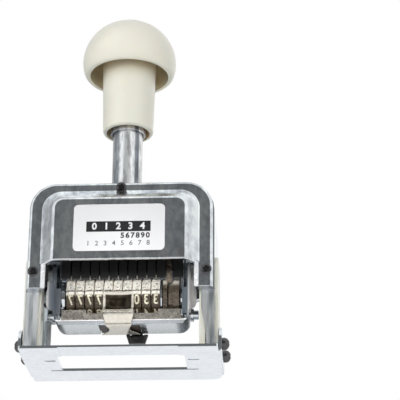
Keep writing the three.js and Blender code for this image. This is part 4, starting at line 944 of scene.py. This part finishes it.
class BuildScrews(bpy.types.Operator):
    """Build the black round headed screws with their cross recess"""
    bl_idname = "numbering.screws"
    bl_label = "Screws"

    def execute(self, context):
        cover = self.screw("cover_screw_model", 2.3, 0.9, 6.2)
        base = self.screw("base_screw_model", 2.7, 3, 4.6)
        names = sorted(name for name in frame["nodes"] if "_screw_" in name)
        for number, name in enumerate(names):
            low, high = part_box(name)
            middle = (low + high) / 2
            if name.startswith("base"):
                side = 1 if middle.x > 0 else -1
                head = Vector((side * EAR_FACE, middle.y, middle.z))
                turn = Matrix.Rotation(side * math.pi / 2, 4, "Y")
                model = base
            else:
                side = -1 if name.startswith("front") else 1
                head = Vector((middle.x, side * COVER_FACE, middle.z))
                turn = Matrix.Rotation(-side * math.pi / 2, 4, "X")
                model = cover
            spin = Matrix.Rotation(0.6 + 1.3 * number, 4, "Z")
            twin = shifted_copy(model, name + "_crossed", Matrix.Translation(head) @ turn @ spin)
            stand_for(twin, name)
        for model in (cover, base):
            bpy.data.objects.remove(model)
        return {"FINISHED"}

    def screw(self, name, radius, height, length):
        """A domed screw along +Z, its head standing on the origin, sizes in millimetres"""
        rim, shank = height * 0.3, 1.3
        profile = [(0, -length), (shank, -length), (shank, 0), (radius * 0.97, 0), (radius, rim * 0.4)]
        profile += bow(0, rim, radius, height - rim, 0, 90, 8)[:-1] + [(0, height)]
        piece = spun(name, profile, 32)
        for turn in (0, math.pi / 2):
            cut_away(piece, made(
                "cross_tool", bpy.ops.mesh.primitive_cube_add,
                (radius * 1.15 * MM, radius * 0.3 * MM, height * 1.1 * MM), size=1,
                location=(0, 0, height * MM), rotation=(0, 0, turn)))
        smooth(piece, 40)
        set_finish(piece, "black_steel")

        def in_recess(face):
            x, y, z = face.center / MM
            wall_or_floor = abs(face.normal.z) < 0.05 or face.normal.z > 0.99
            return wall_or_floor and 0.1 < z < height * 0.97 and math.hypot(x, y) < 2.2

        # The cross recess is painted near black: painted shade
        paint(piece, "recess", in_recess)
        return piece


class BuildHandle(bpy.types.Operator):
    """Build the moulded handle, the shaft with its ferrule and the bush"""
    bl_idname = "numbering.handle"
    bl_label = "Handle"

    def execute(self, context):
        self.grip()
        self.turned("plunger_shaft_turned", rounded_path([
            (4.7, 68.8, 0), (6.7, 68.8, 0.2), (6.7, 142, 0.3), (0.001, 142, 0), (0.001, 100, 0),
            (4.7, 100, 0)], 4), "shaft", "plunger_shaft")
        self.turned("shaft_ferrule_turned", rounded_path([
            (7, 107, 0), (7.9, 107, 0.4), (7.9, 112, 0.4), (7, 112, 0)]), "shaft", "shaft_ferrule")
        self.turned("shaft_bush_turned", rounded_path([
            (7, 73.6, 0), (8.7, 73.6, 0), (8.7, 74.8, 0), (10.5, 74.8, 0), (10.5, 77.2, 0.5),
            (9, 77.2, 0.3), (9, 80.2, 0.5), (7, 80.2, 0.3)]), "grey_chrome", "shaft_bush")
        return {"FINISHED"}

    def turned(self, name, profile, finish, node, angle=40):
        """A piece turned round the plunger's axis from a closed profile"""
        piece = spun(name, [*profile, profile[0]], sizes().handle.turns, SHAFT_Y)
        smooth(piece, angle)
        return place(piece, finish, node)

    def grip(self):
        """Neck, hollow roof, belly and cap, then the bore on the way back"""
        edge = sizes().handle.neck_round / MM
        profile = rounded_path([(9.7, 108.1, 0), (11.35, 108.1, edge), (12.45, 150, 0)])[:-1]
        profile += bow(12.45, 142, 5.85, 9.5, 90, 0, 12)[:-1] + [(18.3, 142), (17.9, 137)]
        profile += bow(18.8, 143.5, 2.6, 6.7, -90, 0, 12)[:-1] + bow(0, 143.5, 21.4, 20.6, 0, 90, 28)[:-1]
        profile += [(0, 164.1), (0, 142.3), (7, 142.3), (7, 116), (9.7, 116)]
        piece = self.turned("handle_grip_moulded", profile, "ivory", "handle_grip", 45)

        def from_axis(face):
            return Vector((face.center.x, face.center.y - SHAFT_Y, 0)) / MM

        def in_shade(face):
            out, z = from_axis(face), face.center.z / MM
            inward = face.normal.dot(out) < 0
            hollow = out.length < 18.32 and z > 137 and (face.normal.z < -0.05 or inward)
            return z < 142 and out.length < 12.5 or hollow

        paint(piece, "ivory_shade", in_shade)
        # The bore's faces get the darker ivory: painted shade inside the bore
        paint(piece, "bore", lambda face: from_axis(face).length < 9.72 and face.center.z < 142.5 * MM)


class BuildFrame(bpy.types.Operator):
    """Finish the base plate, the bent outer frame and the ivory strips and guards"""
    bl_idname = "numbering.frame"
    bl_label = "Frame and base"

    def execute(self, context):
        dressed("base_plate", "chrome", 0.2)
        lip_tools = [
            block("lip_tool", (29.2, y - 1.5, 26.2), (LEG_INSIDE / MM, y + 1.5, 37), side)
            for side in (-1, 1) for y in (-20, 20)]
        place(reworked("outer_frame", "_bent", 0.65, tools=lip_tools), "frame", "outer_frame")
        for node in ("guide_strip_left", "side_guard_left", "guide_strip_right", "side_guard_right"):
            dressed(node, "ivory", 0.25, 3)
        return {"FINISHED"}


class BuildSpring(bpy.types.Operator):
    """Wind the return spring and finish the bar that it stands on"""
    bl_idname = "numbering.spring"
    bl_label = "Return spring"

    def execute(self, context):
        dressed("spring_bar", "dark_chrome", 0.2)
        low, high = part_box("return_spring")
        turns, steps = 17, 40
        radius, wire_radius = 3.7 * MM, 0.45 * MM
        piece = made(
            "return_spring_coil", bpy.ops.mesh.primitive_circle_add, vertices=10,
            radius=wire_radius, location=(radius, 0, low.z + wire_radius),
            rotation=(math.pi / 2, 0, 0))
        apply_modifier(
            piece, "SCREW", axis="Z", screw_offset=high.z - low.z - 2 * wire_radius,
            angle=2 * math.pi * turns, steps=steps * turns, render_steps=steps * turns,
            use_smooth_shade=True)
        piece.data.transform(Matrix.Translation((0, SHAFT_Y, 0)))
        smooth(piece, 60)
        place(piece, "steel", "return_spring")
        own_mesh(piece)
        return {"FINISHED"}


class BuildCarriage(bpy.types.Operator):
    """Finish the crosshead, side plates, studs and axle"""
    bl_idname = "numbering.carriage"
    bl_label = "Carriage"

    def execute(self, context):
        dress_all(("crosshead", "dark_chrome", 0.25), ("wheel_axle", "steel", 0.15))
        for side in ("left", "right"):
            dress_all(("side_plate_" + side, "chrome", 0.15), ("pivot_stud_" + side, "nut", 0.2))
        return {"FINISHED"}


class BuildDetents(bpy.types.Operator):
    """Finish the black comb, its bar, the pawl leaf and the repeat lever"""
    bl_idname = "numbering.detents"
    bl_label = "Detent comb"

    def execute(self, context):
        dress_all(
            ("detent_comb", "comb", 0.12), ("comb_bar", "comb", 0.15), ("detent_pawls", "pawl", 0.08),
            ("repeat_lever", "lever", 0.2), ("repeat_lever_pin", "steel", 0.1))
        # A black sheet behind the comb so that its slits read dark: painted shade
        slit_shade_sheet = block("comb_slit_shade_sheet", (-25, -12.15, 37.9), (22, -11.85, 48.9))
        set_finish(slit_shade_sheet, "comb")
        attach(slit_shade_sheet, BODY_OF["detent_comb"])
        return {"FINISHED"}


class BuildWheels(bpy.types.Operator):
    """Build the ten number wheels with their raised mirror digits"""
    bl_idname = "numbering.wheels"
    bl_label = "Number wheels"
    shown = (6, 6, 6, 6, 6, 6, 6, 9, 2, 2)

    def execute(self, context):
        digits = [self.digit(number) for number in range(10)]
        for wheel, shown in enumerate(self.shown, 1):
            node = f"number_wheel_{wheel:02d}"
            place(reworked(node, "_rim", 0.22, 3, 30), "wheel", node)
            self.number(node, digits, shown)
        for piece in digits:
            bpy.data.objects.remove(piece)
        return {"FINISHED"}

    def digit(self, number):
        """One mirrored digit that faces -Y, standing on the wheel's face"""
        size, relief = sizes().wheel.digit_height / 0.7, sizes().wheel.digit_relief
        piece = flat_text(f"digit_{number}", str(number), size, relief / 2, 1, 0.13 * MM)
        piece.data.transform(Matrix.Diagonal((-0.8, 1, 1, 1)))
        change_mesh(piece, bpy.ops.mesh.normals_make_consistent, inside=False)
        x, y, z = [
            (min(row) + max(row)) / 2 for row in zip(*(v.co for v in piece.data.vertices))]
        out = -WHEEL_FACE - relief / 2 + 0.05 * MM
        piece.data.transform(Matrix.Translation((-x, out - y, -z)))
        set_finish(piece, "digit")
        # The digits' side faces are painted dark brown: painted shade round the raised digits
        paint(piece, "residue", lambda face: abs(face.normal.y) <= 0.7)
        return piece

    def number(self, node, digits, shown):
        """Sets ten digits round a wheel; the shown one stands on the upper front face"""
        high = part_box(node)[1]
        middle = Matrix.Translation((high.x - 1.7 * MM, WHEEL_Y, WHEEL_Z))
        twins = []
        for k, model in enumerate(digits):
            turn = Matrix.Rotation(math.radians(-18 + 36 * (k - shown)), 4, "X")
            twins.append(shifted_copy(model, f"{node}_digit_{k}", middle @ turn))
        join(twins[0], twins[1:])
        twins[0].name = node + "_digits"
        smooth(twins[0], 30)
        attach(twins[0], BODY_OF[node])


class BuildRepeat(bpy.types.Operator):
    """Finish the spacer disc, repeat dial and repeat cam"""
    bl_idname = "numbering.repeat"
    bl_label = "Repeat mechanism"

    def execute(self, context):
        dress_all(("spacer_disc", "chrome", 0.1), ("repeat_dial", "cam", 0.12), ("repeat_cam", "cam", 0.15))
        return {"FINISHED"}


class BuildYoke(bpy.types.Operator):
    """Finish the drive yoke and its pawls"""
    bl_idname = "numbering.yoke"
    bl_label = "Drive yoke"

    def execute(self, context):
        dress_all(("drive_yoke", "chrome", 0.2), ("drive_pawls", "brass", 0.06))
        return {"FINISHED"}


class BuildPad(bpy.types.Operator):
    """Finish the pad frame, tray, clip and catch, and build the felt pad"""
    bl_idname = "numbering.pad"
    bl_label = "Ink pad"

    def execute(self, context):
        self.bracket()
        self.tray()
        dress_all(
            ("pad_clip", "clip", 0.12, 2, 50, 40), ("pad_catch", "black_plastic", 0.25, 3),
            ("guide_pin_left", "chrome", 0.2), ("guide_pin_right", "chrome", 0.2))
        self.leaf()
        self.felt()
        return {"FINISHED"}

    def bracket(self):
        """The pad frame, its cheeks and their front flanges carried up to the pivots"""
        piece = reworked("pad_frame", "_bent", 0.3)
        added = []
        for side in (-1, 1):
            for low, high in [
                    ((27.83, -14.3, 28.9), (28.77, -8, 39.4)),
                    ((27.81, -14.54, 28.9), (29.8, -13.7, 39.6)),
                    ((29.4, -14.52, 28.9), (31.8, -13.75, 33))]:
                cheek = block("cheek", low, high, side)
                round_edges(cheek, 0.3 * MM, 3)
                smooth(cheek)
                added.append(cheek)
        join(piece, added)
        place(piece, "cheek", "pad_frame")

    def tray(self):
        """The tray, with a painted highlight along its front edge"""
        def on_edge(face):
            at_front = face.center.z > 19 * MM and face.center.y < -11.5 * MM
            return at_front and -0.95 < face.normal.y < -0.15 and face.normal.z > 0.2

        paint(dressed("pad_tray", "tray", 0.25, 3), "edge", on_edge)

    def leaf(self):
        """Dark sheet that closes the notch behind the clip: painted shade standing in for the shadowed
        space behind it
        """
        piece = block("clip_notch_shade_sheet", (-9.4, -12.4, 14.025), (7.6, -0.2, 14.375))
        round_edges(piece, 0.08 * MM)
        smooth(piece)
        set_finish(piece, "residue")
        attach(piece, BODY_OF["pad_tray"])

    def felt(self):
        """The felt block, its mesh made finer before its edges are rounded"""
        piece = copy_node("ink_pad", "_felt")
        change_mesh(piece, bpy.ops.mesh.subdivide, number_cuts=3)
        round_edges(piece, 0.3 * MM, 3)
        smooth(piece, 60)
        place(piece, "felt", "ink_pad")


class MachinePanel(bpy.types.Panel):
    """Lists the pieces of the numbering machine"""
    bl_idname = "VIEW3D_PT_numbering"
    bl_label = "Numbering machine"
    bl_space_type = "VIEW_3D"
    bl_region_type = "UI"
    bl_category = "Numbering machine"

    def draw(self, context):
        for operator in OPERATORS:
            self.layout.operator(operator.bl_idname)
        machine = context.scene.numbering_machine
        for group in (machine.handle, machine.cover, machine.wheel):
            for name in group.bl_rna.properties.keys():
                if name not in ("rna_type", "name"):
                    self.layout.prop(group, name)


OPERATORS = (
    BuildStage, BuildCovers, BuildLabel, BuildScrews, BuildHandle, BuildFrame, BuildSpring,
    BuildCarriage, BuildDetents, BuildWheels, BuildRepeat, BuildYoke, BuildPad)
CLASSES = (HandleSizes, CoverSizes, WheelSizes, MachineSizes, *OPERATORS, MachinePanel)


def register():
    for item in CLASSES:
        bpy.utils.register_class(item)
    bpy.types.Scene.numbering_machine = bpy.props.PointerProperty(type=MachineSizes)


def unregister():
    del bpy.types.Scene.numbering_machine
    for item in reversed(CLASSES):
        bpy.utils.unregister_class(item)


def main():
    register()
    bpy.context.scene.view_settings.view_transform = "Standard"
    bpy.ops.numbering.stage()
    bpy.ops.numbering.covers()
    bpy.ops.numbering.label()
    bpy.ops.numbering.screws()
    bpy.ops.numbering.handle()
    bpy.ops.numbering.frame()
    bpy.ops.numbering.spring()
    bpy.ops.numbering.carriage()
    bpy.ops.numbering.detents()
    bpy.ops.numbering.wheels()
    bpy.ops.numbering.repeat()
    bpy.ops.numbering.yoke()
    bpy.ops.numbering.pad()


if __name__ == "__main__":
    main()
